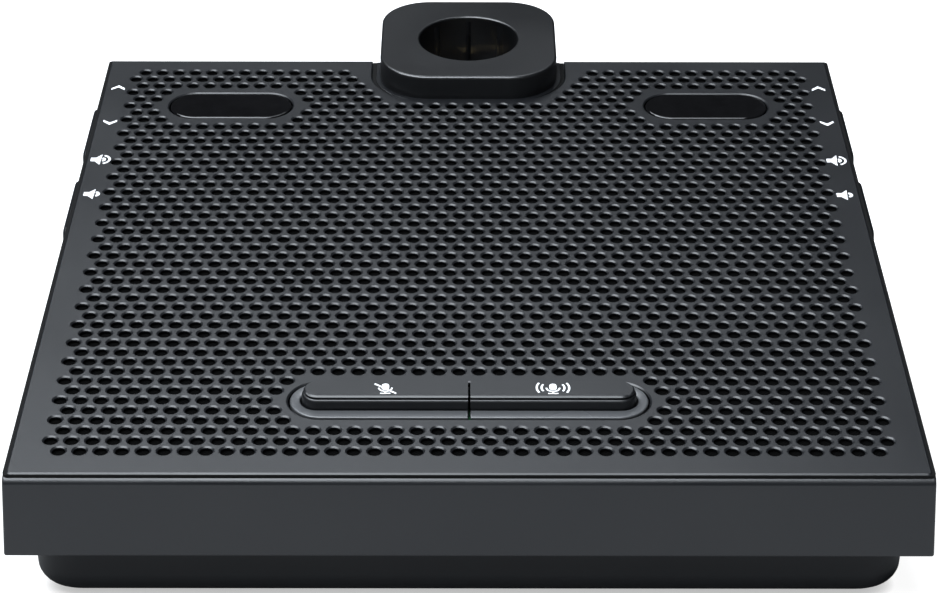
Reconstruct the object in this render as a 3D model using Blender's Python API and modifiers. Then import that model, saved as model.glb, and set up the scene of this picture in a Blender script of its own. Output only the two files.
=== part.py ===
"""Conference delegate unit: a tilted slab with a perforated deck on a set-in wedge tray.

Most pieces are placed in the deck frame: X to the right, Y to the rear along the sloping deck and Z out
of it, with zero on the top of the grille plate at the middle of its front edge. The tray, its feet and
the main board stand upright in the world frame.
"""

import math

import bmesh
import bpy
from mathutils import Matrix, Vector

# Gaps and counts that every piece uses
fit_gap = 0.0003
cut_overrun = 0.002
join_overlap = 0.0004
weld_distance = 0.00001
corner_steps = 4
key_end_steps = 6
tray_roll_steps = 3
tray_inner_roll_steps = 1
round_sides = 24
small_round_sides = 12
nib_sides = 8
contact_pin_sides = 6
edge_round_steps = 2
edge_angle_deg = 40.0
round_edge_angle_deg = 60.0
flat_angle_deg = 1.0

# Slab: the deck, its plate and the housing round it
deck_slope_deg = 13.0
front_edge_height = 0.0231
plate_width = 0.1482
plate_length = 0.1470
plate_thickness = 0.0005
plate_corner_radius = 0.0008
housing_reveal = 0.0005
slab_depth = 0.0127
fascia_lean_deg = 21.2
housing_wall = 0.0022
housing_edge_round = 0.0006
shelf_thickness = 0.0018
ledge_width = 0.0025
cloth_thickness = 0.0005

# Perforation of the plate: every third hole of every third row is cut in this model
hole_diameter = 0.00225
hole_pitch = 0.0034
hole_front_margin = 0.0063
hole_rear_margin = 0.0052
hole_side_margin = 0.0060
hole_stride = 3
hole_sides = 6
hole_rim = 0.0012
rows_before_keys = 5
rows_behind_windows = 5

# Microphone socket
collar_width = 0.0361
collar_length = 0.0358
collar_corner_radius = 0.0100
collar_height = 0.0045
collar_overhang = 0.01965
collar_edge_round = 0.0007
collar_gap_side = 0.00175
collar_gap_front = 0.00115
bore_radius = 0.01015
rib_height = 0.0005
rib_angles_deg = (38.0, 90.0, 142.0)
rib_half_width_deg = 3.5
rib_root_share = 1.2
rib_clear_share = 2.0
contact_disc_thickness = 0.0034
contact_boss_radius = 0.0040
contact_boss_height = 0.0018
contact_pin_radius = 0.0007
contact_pin_height = 0.0026
contact_pin_count = 8
contact_circle_share = 0.75

# Keys and their light rings
key_opening_length = 0.0603
key_opening_width = 0.0111
ring_gap = 0.00035
ring_end_reach = 0.00235
ring_side_reach = 0.00285
key_foot_half_length = key_opening_length / 2 - ring_end_reach
key_foot_width = key_opening_width - 2 * ring_side_reach
key_split = 0.0004
key_height = 0.0023
key_draft = 0.0006
key_edge_round = 0.0003
key_body_depth = 0.0030
key_travel = 0.0008
plunger_radius = 0.0016
plunger_engagement = 0.0010
switch_width = 0.0060
switch_length = 0.0054
switch_base = 0.0007
key_board_width = 0.0720
key_board_length = 0.0200
board_thickness = 0.0012
key_post_radius = 0.0015
key_post_inset = 0.0030

# Display windows
window_length = 0.0249
window_width = 0.0109
window_inset = 0.0264
lens_gap = 0.0003
lens_recess = 0.0006
display_length = 0.0300
display_width = 0.0150
display_thickness = 0.0024

# Side rockers, their pins, boards and switches
rocker_length = 0.0212
rocker_height = 0.0042
rocker_drop = 0.0067
rocker_proud = 0.0019
rocker_rear_inset = 0.0219
rocker_spacing = 0.0301
rocker_edge_round = 0.0007
rocker_swing_deg = 3.0
window_clearance = 0.0004
pivot_inset = 0.0018
pivot_pin_radius = 0.0007
pivot_lug_wall = 0.0007
pivot_ear_margin = 0.0008
pivot_socket_depth = 0.0010
nib_offset = 0.0075
nib_radius = 0.0009
nib_length = 0.0019
tact_width = 0.0042
tact_depth = 0.0025
side_board_thickness = 0.0010
side_board_margin = 0.0036

# Headphone jacks
jack_place = 0.0480
jack_depth = 0.0120
jack_width = 0.0060
jack_height = 0.0050
jack_barrel_radius = 0.0029
jack_bore_radius = 0.00175
jack_bore_depth = 0.0100

# Loudspeaker
speaker_offset = 0.0029
speaker_radius = 0.0310
speaker_flange_thickness = 0.0015
speaker_flange_width = 0.0015
speaker_basket_wall = 0.0010
speaker_rim_depth = 0.0038
speaker_basket_depth = 0.0120
speaker_opening_margin = 0.0050
surround_width = 0.0040
surround_thickness = 0.0005
surround_roll_depth = 0.0016
surround_roll_share = 0.25
cone_depth = 0.0070
cone_thickness = 0.0006
cone_neck_radius = 0.0075
dust_cap_rise = 0.0026
dust_cap_shoulder_share = 0.6
coil_radius = 0.0075
coil_wall = 0.0005
coil_length = 0.0095
magnet_radius = 0.0150
magnet_thickness = 0.0095
cone_travel = 0.0005

# Tray, feet and screws
base_inset = 0.0036
tray_wall = 0.0020
tray_floor = 0.0024
tray_corner_radius = 0.0078
tray_roll_radius = 0.0038
flange_thickness = 0.0018
foot_radius = 0.0060
foot_stand = 0.0010
foot_recess = 0.0008
foot_inset = 0.0130
foot_edge_round = 0.0004
screw_inset_side = 0.0130
screw_inset_end = 0.0300
screw_shank_radius = 0.0013
screw_head_radius = 0.0025
screw_head_height = 0.0014
screw_length = 0.0100
screw_post_radius = 0.0033
tray_boss_radius = 0.0042
tray_boss_height = 0.0020
screw_seat_thickness = 0.0012

# Main board and network sockets
main_board_side_gap = 0.0030
main_board_length = 0.1050
main_board_thickness = 0.0016
standoff_height = 0.0030
standoff_radius = 0.0025
standoff_inset = 0.0060
network_jack_width = 0.0160
network_jack_depth = 0.0210
network_jack_height = 0.0135
network_jack_spread = 0.0260
network_cavity_width = 0.0118
network_cavity_height = 0.0080
network_cavity_depth = 0.0130
network_cavity_floor = 0.0022

# Levels in the deck frame, from the plate down
plate_bottom = -plate_thickness
rim_level = plate_bottom - fit_gap
cloth_bottom = rim_level - cloth_thickness
shelf_top = cloth_bottom - fit_gap
shelf_bottom = shelf_top - shelf_thickness
slab_bottom = -slab_depth
flange_top = slab_bottom + flange_thickness

# Plan sizes in the deck frame
half_width = plate_width / 2 + housing_reveal
wall_inside = half_width - housing_wall
rear_face = plate_length + housing_reveal
fascia_slope = math.tan(math.radians(fascia_lean_deg))
row_spacing = hole_pitch * math.sqrt(3) / 2
hole_rows = int((plate_length - hole_front_margin - hole_rear_margin) / row_spacing) + 1
hole_columns = int((plate_width / 2 - hole_side_margin) / hole_pitch)
key_place = hole_front_margin + rows_before_keys * row_spacing
window_place = hole_front_margin + (hole_rows - 1 - rows_behind_windows) * row_spacing
window_spread = plate_width - 2 * window_inset
collar_rear = plate_length + collar_overhang
collar_front = collar_rear - collar_length
collar_middle = (collar_front + collar_rear) / 2
rocker_front_place = plate_length - rocker_rear_inset - rocker_spacing
speaker_place = (key_place + key_board_length / 2 + collar_front) / 2 - speaker_offset

# Places in the world frame, with the box's middle over the origin
slope = math.radians(deck_slope_deg)
front_reach = -housing_reveal - (slab_depth + rim_level) * fascia_slope
front_offset = front_reach * math.cos(slope) + slab_depth * math.sin(slope)
rear_offset = collar_rear * math.cos(slope) + slab_depth * math.sin(slope)
deck_y = -(front_offset + rear_offset) / 2
tray_front = deck_y + front_offset + base_inset
tray_rear = deck_y + rear_face * math.cos(slope) + slab_depth * math.sin(slope) - base_inset
tray_half_width = half_width - base_inset
main_board_width = 2 * (tray_half_width - screw_inset_side - tray_boss_radius - main_board_side_gap)
tray_bottom = foot_stand
floor_top = tray_bottom + tray_floor


def fascia_line(level):
    """The fascia's front face, as a place along the deck, at a level below the deck."""
    return -housing_reveal + (level - rim_level) * fascia_slope


def deck_to_world(x, y, z):
    """A point of the deck frame, in the world frame."""
    return Matrix.Rotation(slope, 3, "X") @ Vector((x, y, z)) + Vector((0, deck_y, front_edge_height))


def world_to_deck(x, y, z):
    """A point of the world frame, in the deck frame."""
    return Matrix.Rotation(-slope, 3, "X") @ (Vector((x, y, z)) - Vector((0, deck_y, front_edge_height)))


# Scene helpers


def clear_scene():
    for obj in list(bpy.data.objects):
        bpy.data.objects.remove(obj, do_unlink=True)


def new_collection(name):
    collection = bpy.data.collections.new(name)
    bpy.context.scene.collection.children.link(collection)
    return collection


def new_material(name, color, roughness, metallic=0.0):
    material = bpy.data.materials.new(name)
    material.use_nodes = True
    shader = material.node_tree.nodes["Principled BSDF"]
    shader.inputs["Base Color"].default_value = (*color, 1.0)
    shader.inputs["Roughness"].default_value = roughness
    shader.inputs["Metallic"].default_value = metallic
    return material


clear_scene()
parts = new_collection("conference_delegate_unit")
cutters = new_collection("cutters")
cutters.hide_render = True

satin_black = new_material("satin_black", (0.045, 0.048, 0.053), 0.45)
base_black = new_material("base_black", (0.022, 0.024, 0.028), 0.5)
key_black = new_material("key_black", (0.04, 0.042, 0.046), 0.38)
ring_grey = new_material("ring_grey", (0.32, 0.33, 0.35), 0.4)
smoked_window = new_material("smoked_window", (0.004, 0.004, 0.005), 0.08)
cloth_black = new_material("cloth_black", (0.006, 0.006, 0.006), 0.95)
board_green = new_material("board_green", (0.02, 0.12, 0.05), 0.5)
part_black = new_material("part_black", (0.03, 0.03, 0.03), 0.5)
steel = new_material("steel", (0.55, 0.56, 0.58), 0.35, 1.0)
paper_black = new_material("paper_black", (0.03, 0.03, 0.03), 0.85)
rubber_black = new_material("rubber_black", (0.015, 0.015, 0.015), 0.8)
contact_gold = new_material("contact_gold", (0.75, 0.55, 0.22), 0.3, 1.0)


def link_part(name, mesh, material, location=(0, 0, 0), parent=None, turn=(0, 0, 0)):
    """A named piece in the object's own collection."""
    obj = bpy.data.objects.new(name, mesh)
    parts.objects.link(obj)
    obj.location = location
    obj.rotation_euler = turn
    obj.parent = parent
    mesh.materials.clear()
    mesh.materials.append(material)
    return obj


def link_helper(name, mesh, location=(0, 0, 0), parent=None, turn=(0, 0, 0)):
    """A cutter, or a shape to be joined, which isn't a piece itself."""
    obj = bpy.data.objects.new(name, mesh)
    cutters.objects.link(obj)
    obj.location = location
    obj.rotation_euler = turn
    obj.parent = parent
    obj.hide_render = True
    obj.display_type = "WIRE"
    return obj


def frame_empty(name, location, turn=(0, 0, 0), parent=None):
    empty = bpy.data.objects.new(name, None)
    parts.objects.link(empty)
    empty.location = location
    empty.rotation_euler = turn
    empty.parent = parent
    return empty


deck = frame_empty("deck_frame", (0, deck_y, front_edge_height), (slope, 0, 0))


def boolean(obj, other, operation):
    modifier = obj.modifiers.new(f"{operation.lower()}_{other.name}", "BOOLEAN")
    modifier.object = other
    modifier.operation = operation


def cut(obj, cutter):
    boolean(obj, cutter, "DIFFERENCE")


def join(obj, other):
    boolean(obj, other, "UNION")


def round_edges(obj, width, segments=edge_round_steps, angle_deg=edge_angle_deg):
    modifier = obj.modifiers.new("rounded_edges", "BEVEL")
    modifier.width = width
    modifier.segments = segments
    modifier.limit_method = "ANGLE"
    modifier.angle_limit = math.radians(angle_deg)


# Outlines, as lists of points


def rounded_outline(corners, steps=corner_steps):
    """The outline through these corners (x, y, radius), each rounded by its radius."""
    points = []
    for index, (x, y, radius) in enumerate(corners):
        here = Vector((x, y))
        if not radius:
            points.append(here)
            continue
        back = (Vector(corners[index - 1][:2]) - here).normalized()
        ahead = (Vector(corners[(index + 1) % len(corners)][:2]) - here).normalized()
        half_angle = back.angle(ahead) / 2
        centre = here + (back + ahead).normalized() * (radius / math.sin(half_angle))
        start = here + back * (radius / math.tan(half_angle)) - centre
        end = here + ahead * (radius / math.tan(half_angle)) - centre
        turn = math.atan2(start.cross(end), start.dot(end))
        for step in range(steps + 1):
            points.append(centre + Matrix.Rotation(turn * step / steps, 2) @ start)
    kept = []
    for point in points:
        if not kept or (point - kept[-1]).length > weld_distance:
            kept.append(point)
    if (kept[0] - kept[-1]).length <= weld_distance:
        kept.pop()
    return kept


def rectangle(width, length, middle=(0, 0), radius=0.0, steps=corner_steps):
    x, y = middle
    corners = [
        (x - width / 2, y - length / 2, radius),
        (x + width / 2, y - length / 2, radius),
        (x + width / 2, y + length / 2, radius),
        (x - width / 2, y + length / 2, radius),
    ]
    return rounded_outline(corners, steps)


def stadium(length, width, middle=(0, 0), steps=corner_steps):
    """A slot shape along X, with round ends."""
    return rectangle(length, width, middle, width / 2, steps)


def circle(radius, middle=(0, 0), sides=round_sides, phase=0.0):
    angles = [phase + 2 * math.pi * side / sides for side in range(sides)]
    return [Vector((middle[0] + radius * math.cos(a), middle[1] + radius * math.sin(a))) for a in angles]


def ribbed_circle(radius, middle, sides):
    """A bore with thin ribs that stand into it at the ribs' angles."""
    half = math.radians(rib_half_width_deg)
    ribs = [math.radians(angle) for angle in rib_angles_deg]
    spots = []
    for side in range(sides):
        angle = 2 * math.pi * side / sides
        if all(abs(angle - rib) > rib_clear_share * half for rib in ribs):
            spots.append((angle, radius))
    for rib in ribs:
        spots.append((rib - rib_root_share * half, radius))
        spots.append((rib - half, radius - rib_height))
        spots.append((rib + half, radius - rib_height))
        spots.append((rib + rib_root_share * half, radius))
    return [
        Vector((middle[0] + r * math.cos(a), middle[1] + r * math.sin(a))) for a, r in sorted(spots)
    ]


# Solids, as meshes


def solid_of(outlines, low, high):
    """The outlines, the later ones as holes, filled and drawn out along Z from low to high."""
    curve = bpy.data.curves.new("outline", "CURVE")
    curve.dimensions = "2D"
    curve.fill_mode = "BOTH"
    curve.extrude = (high - low) / 2
    for outline in outlines:
        spline = curve.splines.new("POLY")
        spline.points.add(len(outline) - 1)
        for point, place in zip(spline.points, outline):
            point.co = (place[0], place[1], 0.0, 1.0)
        spline.use_cyclic_u = True
    drawn = bpy.data.objects.new("outline", curve)
    bpy.context.scene.collection.objects.link(drawn)
    graph = bpy.context.evaluated_depsgraph_get()
    mesh = bpy.data.meshes.new_from_object(drawn.evaluated_get(graph))
    bpy.data.objects.remove(drawn, do_unlink=True)
    bpy.data.curves.remove(curve)
    shape = bmesh.new()
    shape.from_mesh(mesh)
    bmesh.ops.remove_doubles(shape, verts=shape.verts, dist=weld_distance)
    bmesh.ops.translate(shape, verts=shape.verts, vec=(0, 0, (low + high) / 2))
    bmesh.ops.recalc_face_normals(shape, faces=shape.faces)
    shape.to_mesh(mesh)
    shape.free()
    return mesh


def side_solid_of(outlines, low, high):
    """Outlines in Y and Z, drawn out along X from low to high."""
    mesh = solid_of(outlines, low, high)
    mesh.transform(Matrix(((0, 0, 1, 0), (1, 0, 0, 0), (0, 1, 0, 0), (0, 0, 0, 1))))
    return mesh


def add_box(shape, size, middle):
    """Adds a box to a bmesh."""
    place = Matrix.Translation(middle) @ Matrix.Diagonal((*size, 1.0))
    bmesh.ops.create_cube(shape, size=1.0, matrix=place)


def add_rod(shape, radius, start, end, sides=small_round_sides):
    """Adds a round rod from start to end to a bmesh."""
    start, end = Vector(start), Vector(end)
    along = end - start
    turn = along.to_track_quat("Z", "Y").to_matrix().to_4x4()
    bmesh.ops.create_cone(
        shape,
        cap_ends=True,
        segments=sides,
        radius1=radius,
        radius2=radius,
        depth=along.length,
        matrix=Matrix.Translation((start + end) / 2) @ turn,
    )


def mesh_of(shape, name):
    mesh = bpy.data.meshes.new(name)
    shape.to_mesh(mesh)
    shape.free()
    return mesh


def box(name, size, middle):
    shape = bmesh.new()
    add_box(shape, size, middle)
    return mesh_of(shape, name)


def rod(name, radius, start, end, sides=small_round_sides):
    shape = bmesh.new()
    add_rod(shape, radius, start, end, sides)
    return mesh_of(shape, name)


def turned(name, profile, material, location, parent, sides=round_sides, ring=False):
    """A turned piece. The profile (radius, height) runs down its outer side, and a ring's comes back up."""
    mesh = bpy.data.meshes.new(name)
    shape = bmesh.new()
    verts = [shape.verts.new((radius, 0, height)) for radius, height in profile]
    for first, second in zip(verts, verts[1:]):
        shape.edges.new((first, second))
    if ring:
        shape.edges.new((verts[-1], verts[0]))
    shape.to_mesh(mesh)
    shape.free()
    obj = link_part(name, mesh, material, location, parent)
    screw = obj.modifiers.new("turned", "SCREW")
    screw.axis = "Z"
    screw.angle = 2 * math.pi
    screw.steps = sides
    screw.render_steps = sides
    screw.use_merge_vertices = True
    screw.merge_threshold = weld_distance
    screw.use_smooth_shade = True
    return obj


# Slab


def plate_holes():
    """The perforation's hole centres, in rows with every second row shifted by half a pitch."""
    places = []
    for row in range(1, hole_rows, hole_stride):
        shift = 0.5 if row % 2 == 0 else 0.0
        y = hole_front_margin + row * row_spacing
        for column in range(-hole_columns, hole_columns + 1):
            position = (column + shift) * hole_stride
            if abs(position) <= hole_columns:
                places.append((position * hole_pitch, y))
    return places


def clear_of_cutouts(x, y):
    """Whether a hole at x, y keeps its rim to the cut-outs of the plate."""
    reach = hole_diameter / 2 + hole_rim
    keys = abs(x) < key_opening_length / 2 + reach and abs(y - key_place) < key_opening_width / 2 + reach
    beside = abs(abs(x) - window_spread / 2) < window_length / 2 + reach
    window = beside and abs(y - window_place) < window_width / 2 + reach
    beside_collar = abs(x) < collar_width / 2 + collar_gap_side + reach
    collar = beside_collar and y > collar_front - collar_gap_front - reach
    return not (keys or window or collar)


def plate_outline(inset=0.0):
    """The plate's edge with the notch for the collar, drawn in by an inset."""
    side = plate_width / 2 - inset
    notch_side = collar_width / 2 + collar_gap_side + inset
    notch_front = collar_front - collar_gap_front - inset
    notch_radius = collar_corner_radius + collar_gap_front + inset
    return rounded_outline(
        [
            (-side, inset, plate_corner_radius),
            (side, inset, plate_corner_radius),
            (side, plate_length - inset, plate_corner_radius),
            (notch_side, plate_length - inset, 0),
            (notch_side, notch_front, notch_radius),
            (-notch_side, notch_front, notch_radius),
            (-notch_side, plate_length - inset, 0),
            (-side, plate_length - inset, plate_corner_radius),
        ]
    )


def deck_cutouts(margin=0.0):
    """The key opening and both windows, widened by a margin."""
    outlines = [stadium(key_opening_length + 2 * margin, key_opening_width + 2 * margin, (0, key_place))]
    for side in (-1, 1):
        middle = (side * window_spread / 2, window_place)
        outlines.append(stadium(window_length + 2 * margin, window_width + 2 * margin, middle))
    return outlines


def make_grille_plate():
    holes = [
        circle(hole_diameter / 2, place, hole_sides) for place in plate_holes() if clear_of_cutouts(*place)
    ]
    mesh = solid_of([plate_outline(), *deck_cutouts(), *holes], plate_bottom, 0)
    return link_part("grille_plate", mesh, satin_black, parent=deck)


def make_grille_cloth():
    """Black cloth in the shallow recess under the plate."""
    mesh = solid_of(
        [plate_outline(ledge_width + fit_gap), *deck_cutouts(fit_gap)], cloth_bottom, rim_level
    )
    return link_part("grille_cloth", mesh, cloth_black, parent=deck)


def screw_places():
    """The four housing screws, in the world's plan."""
    side = tray_half_width - screw_inset_side
    return [
        (x, y)
        for x in (-side, side)
        for y in (tray_front + screw_inset_end, tray_rear - screw_inset_end)
    ]


def rocker_places():
    return [("volume_rocker", rocker_front_place), ("channel_rocker", rocker_front_place + rocker_spacing)]


rocker_level = -rocker_drop
cap_inside = wall_inside - fit_gap
pivot_x = cap_inside - pivot_inset
pivot_hole_radius = pivot_pin_radius + fit_gap
pivot_lug_radius = pivot_hole_radius + pivot_lug_wall
ear_top = rocker_level - rocker_height / 2 - 2 * fit_gap
ear_bottom = flange_top + 2 * fit_gap
key_board_top = (
    -key_body_depth - key_travel - 2 * fit_gap
    - plunger_engagement - key_travel - fit_gap - switch_base - fit_gap
)
key_post_x = key_board_width / 2 - key_post_inset
key_post_y = key_board_length / 2 - key_post_inset
screw_seat_top = floor_top + tray_boss_height
screw_head_top = screw_seat_top - screw_seat_thickness - fit_gap
screw_head_bottom = screw_head_top - screw_head_height
screw_tip = screw_head_bottom + screw_length


def housing_posts():
    """Posts for the key board and the housing screws, and an ear under each rocker's pin."""
    shape = bmesh.new()
    for x in (-key_post_x, key_post_x):
        for y in (key_place - key_post_y, key_place + key_post_y):
            top = shelf_bottom + join_overlap
            add_rod(shape, key_post_radius, (x, y, key_board_top + fit_gap), (x, y, top))
    for x, y in screw_places():
        foot = world_to_deck(x, y, screw_seat_top + fit_gap)
        rise = (shelf_top + shelf_bottom) / 2 - foot.z
        up = Vector((0, math.sin(slope), math.cos(slope)))
        add_rod(shape, screw_post_radius, foot, foot + up * (rise / up.z))
    ear_length = 2 * (pivot_lug_radius + pivot_ear_margin)
    ear_inner = pivot_x - pivot_lug_radius
    ear_width = wall_inside + join_overlap - ear_inner
    for side in (-1, 1):
        for _, y in rocker_places():
            middle = (side * (ear_inner + ear_width / 2), y, (ear_top + ear_bottom) / 2)
            add_box(shape, (ear_width, ear_length, ear_top - ear_bottom), middle)
    return mesh_of(shape, "housing_posts")


def housing_post_holes():
    """Holes for the rocker pins, up into the shelf, and for the housing screws."""
    shape = bmesh.new()
    for side in (-1, 1):
        for _, y in rocker_places():
            low = (side * pivot_x, y, ear_bottom - cut_overrun)
            high = (side * pivot_x, y, shelf_bottom + pivot_socket_depth)
            add_rod(shape, pivot_hole_radius, low, high)
    for x, y in screw_places():
        low = world_to_deck(x, y, screw_seat_top - cut_overrun)
        high = world_to_deck(x, y, screw_tip + fit_gap)
        add_rod(shape, screw_shank_radius + fit_gap, low, high)
    return mesh_of(shape, "housing_post_holes")


def make_upper_housing():
    outer = [
        Vector((fascia_line(rim_level), rim_level)),
        Vector((fascia_line(slab_bottom), slab_bottom)),
        Vector((rear_face, slab_bottom)),
        Vector((rear_face, rim_level)),
    ]
    mesh = side_solid_of([outer], -half_width, half_width)
    housing = link_part("upper_housing", mesh, satin_black, parent=deck)
    round_edges(housing, housing_edge_round)

    wall_along = housing_wall / math.cos(math.radians(fascia_lean_deg))
    below = slab_bottom - cut_overrun
    inner = [
        Vector((fascia_line(shelf_bottom) + wall_along, shelf_bottom)),
        Vector((fascia_line(below) + wall_along, below)),
        Vector((rear_face - housing_wall, below)),
        Vector((rear_face - housing_wall, shelf_bottom)),
    ]
    mesh = side_solid_of([inner], -wall_inside, wall_inside)
    cut(housing, link_helper("housing_cavity", mesh, parent=deck))

    recess = rectangle(
        plate_width - 2 * ledge_width,
        plate_length - 2 * ledge_width,
        (0, plate_length / 2),
        plate_corner_radius,
    )
    above = rim_level + cut_overrun
    cut(housing, link_helper("cloth_recess", solid_of([recess], shelf_top, above), parent=deck))

    openings = [*deck_cutouts(), circle(speaker_radius - speaker_opening_margin, (0, speaker_place))]
    low = shelf_bottom - cut_overrun
    cut(housing, link_helper("shelf_openings", solid_of(openings, low, above), parent=deck))

    notch = rounded_outline(
        [
            (-collar_width / 2 - fit_gap, collar_front - fit_gap, collar_corner_radius),
            (collar_width / 2 + fit_gap, collar_front - fit_gap, collar_corner_radius),
            (collar_width / 2 + fit_gap, rear_face + cut_overrun, 0),
            (-collar_width / 2 - fit_gap, rear_face + cut_overrun, 0),
        ]
    )
    cut(housing, link_helper("collar_notch", solid_of([notch], below, above), parent=deck))

    reach = half_width + cut_overrun
    windows = [
        rectangle(
            rocker_length + 2 * window_clearance,
            rocker_height + 2 * window_clearance,
            (y, rocker_level),
            rocker_height / 2 + window_clearance,
        )
        for _, y in rocker_places()
    ]
    windows.append(circle(jack_barrel_radius + fit_gap, (jack_place, rocker_level), small_round_sides))
    cut(housing, link_helper("side_openings", side_solid_of(windows, -reach, reach), parent=deck))

    join(housing, link_helper("housing_posts", housing_posts(), parent=deck))
    cut(housing, link_helper("housing_post_holes", housing_post_holes(), parent=deck))
    return housing


# Microphone socket


def make_socket_collar():
    middle = (0, collar_middle)
    outline = rectangle(collar_width, collar_length, middle, collar_corner_radius)
    bore = ribbed_circle(bore_radius, middle, round_sides)
    mesh = solid_of([outline, bore], flange_top + fit_gap, collar_height)
    collar = link_part("socket_collar", mesh, satin_black, parent=deck)
    round_edges(collar, collar_edge_round, angle_deg=round_edge_angle_deg)
    return collar


def make_mic_connector():
    """The contact block at the bottom of the bore, with a centre boss and a circle of pins."""
    radius = bore_radius - rib_height - fit_gap
    low = flange_top + fit_gap
    top = low + contact_disc_thickness
    place = (0, collar_middle, 0)
    disc = rod("mic_connector", radius, (0, 0, low), (0, 0, top), round_sides)
    connector = link_part("mic_connector", disc, part_black, place, deck)
    shape = bmesh.new()
    add_rod(shape, contact_boss_radius, (0, 0, top - join_overlap), (0, 0, top + contact_boss_height))
    circle_radius = radius * contact_circle_share
    for index in range(contact_pin_count):
        angle = 2 * math.pi * index / contact_pin_count
        x, y = circle_radius * math.cos(angle), circle_radius * math.sin(angle)
        start, end = (x, y, top - join_overlap), (x, y, top + contact_pin_height)
        add_rod(shape, contact_pin_radius, start, end, contact_pin_sides)
    join(connector, link_helper("contact_pins", mesh_of(shape, "contact_pins"), place, deck))
    return connector


# Keys and light rings


def key_outline(half_length, width, side):
    """Half of a slot shape: flat at the split in the middle and round at its outer end."""
    split = key_split / 2
    corners = [
        (split, -width / 2, 0),
        (half_length, -width / 2, width / 2),
        (half_length, width / 2, width / 2),
        (split, width / 2, 0),
    ]
    points = rounded_outline(corners, key_end_steps)
    if side < 0:
        points = [Vector((-point.x, point.y)) for point in reversed(points)]
    return points


def make_light_ring(name, side):
    """Half of the light guide round the keys, down to the key board."""
    outer = key_outline(key_opening_length / 2 - ring_gap, key_opening_width - 2 * ring_gap, side)
    inner = key_outline(key_foot_half_length + fit_gap, key_foot_width + 2 * fit_gap, side)
    outline = [*outer, *reversed(inner)]
    mesh = solid_of([outline], key_board_top + fit_gap, 0)
    return link_part(name, mesh, ring_grey, (0, key_place, 0), deck)


def make_key(name, side):
    """A key cap: its body in the deck, and a drafted top that stands out of it."""
    shift = Vector((side * key_foot_half_length / 2, 0))
    outline = [point - shift for point in key_outline(key_foot_half_length, key_foot_width, side)]
    mesh = solid_of([outline], -key_body_depth, 0)
    shape = bmesh.new()
    shape.from_mesh(mesh)
    bmesh.ops.dissolve_limit(
        shape, angle_limit=math.radians(flat_angle_deg), verts=shape.verts, edges=shape.edges
    )
    top = max(shape.faces, key=lambda face: face.calc_center_median().z)
    bmesh.ops.inset_region(
        shape, faces=[top], thickness=key_draft, depth=key_height, use_even_offset=True
    )
    shape.to_mesh(mesh)
    shape.free()
    key = link_part(name, mesh, key_black, (shift.x, key_place, 0), deck)
    round_edges(key, key_edge_round)
    return key


def make_key_switch(name, side):
    """A switch on the key board and its plunger, which the key pushes down."""
    x = side * key_foot_half_length / 2
    key_bottom = -key_body_depth
    switch_top = key_bottom - key_travel - 2 * fit_gap
    switch_bottom = key_board_top + fit_gap
    plunger_top = key_bottom - fit_gap
    plunger_bottom = switch_top - plunger_engagement
    bore_bottom = plunger_bottom - key_travel - fit_gap
    size = (switch_width, switch_length, switch_top - switch_bottom)
    mesh = box(name, size, (0, 0, (switch_top + switch_bottom) / 2))
    switch = link_part(f"{name}_switch", mesh, part_black, (x, key_place, 0), deck)
    bore = rod(
        f"{name}_switch_bore",
        plunger_radius + fit_gap,
        (0, 0, bore_bottom),
        (0, 0, switch_top + cut_overrun),
    )
    cut(switch, link_helper(f"{name}_switch_bore", bore, (x, key_place, 0), deck))
    stem = rod(f"{name}_plunger", plunger_radius, (0, 0, plunger_bottom), (0, 0, plunger_top))
    link_part(f"{name}_plunger", stem, ring_grey, (x, key_place, 0), deck)
    return switch


def make_key_board():
    size = (key_board_width, key_board_length, board_thickness)
    mesh = box("key_board", size, (0, key_place, key_board_top - board_thickness / 2))
    return link_part("key_board", mesh, board_green, parent=deck)


# Displays


def make_display(side_name, side):
    """A smoked window in the plate and the display module under the shelf."""
    x = side * window_spread / 2
    outline = stadium(window_length - 2 * lens_gap, window_width - 2 * lens_gap)
    mesh = solid_of([outline], shelf_bottom, -lens_recess)
    link_part(f"display_window_{side_name}", mesh, smoked_window, (x, window_place, 0), deck)
    size = (display_length, display_width, display_thickness)
    middle = (x, window_place, shelf_bottom - fit_gap - display_thickness / 2)
    link_part(f"display_module_{side_name}", box("display_module", size, middle), part_black, parent=deck)


# Side rockers


def rocker_mesh_parts():
    """The lug round the pin and the two nibs that press the switches, as one shape to join."""
    shape = bmesh.new()
    inside = cap_inside - pivot_x
    lug_size = (inside + join_overlap, 2 * pivot_lug_radius, rocker_height)
    add_box(shape, lug_size, ((inside + join_overlap) / 2, 0, 0))
    for side in (-1, 1):
        start = (inside + join_overlap, side * nib_offset, 0)
        end = (inside - nib_length, side * nib_offset, 0)
        add_rod(shape, nib_radius, start, end, nib_sides)
    return mesh_of(shape, "rocker_lug_and_nibs")


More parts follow.
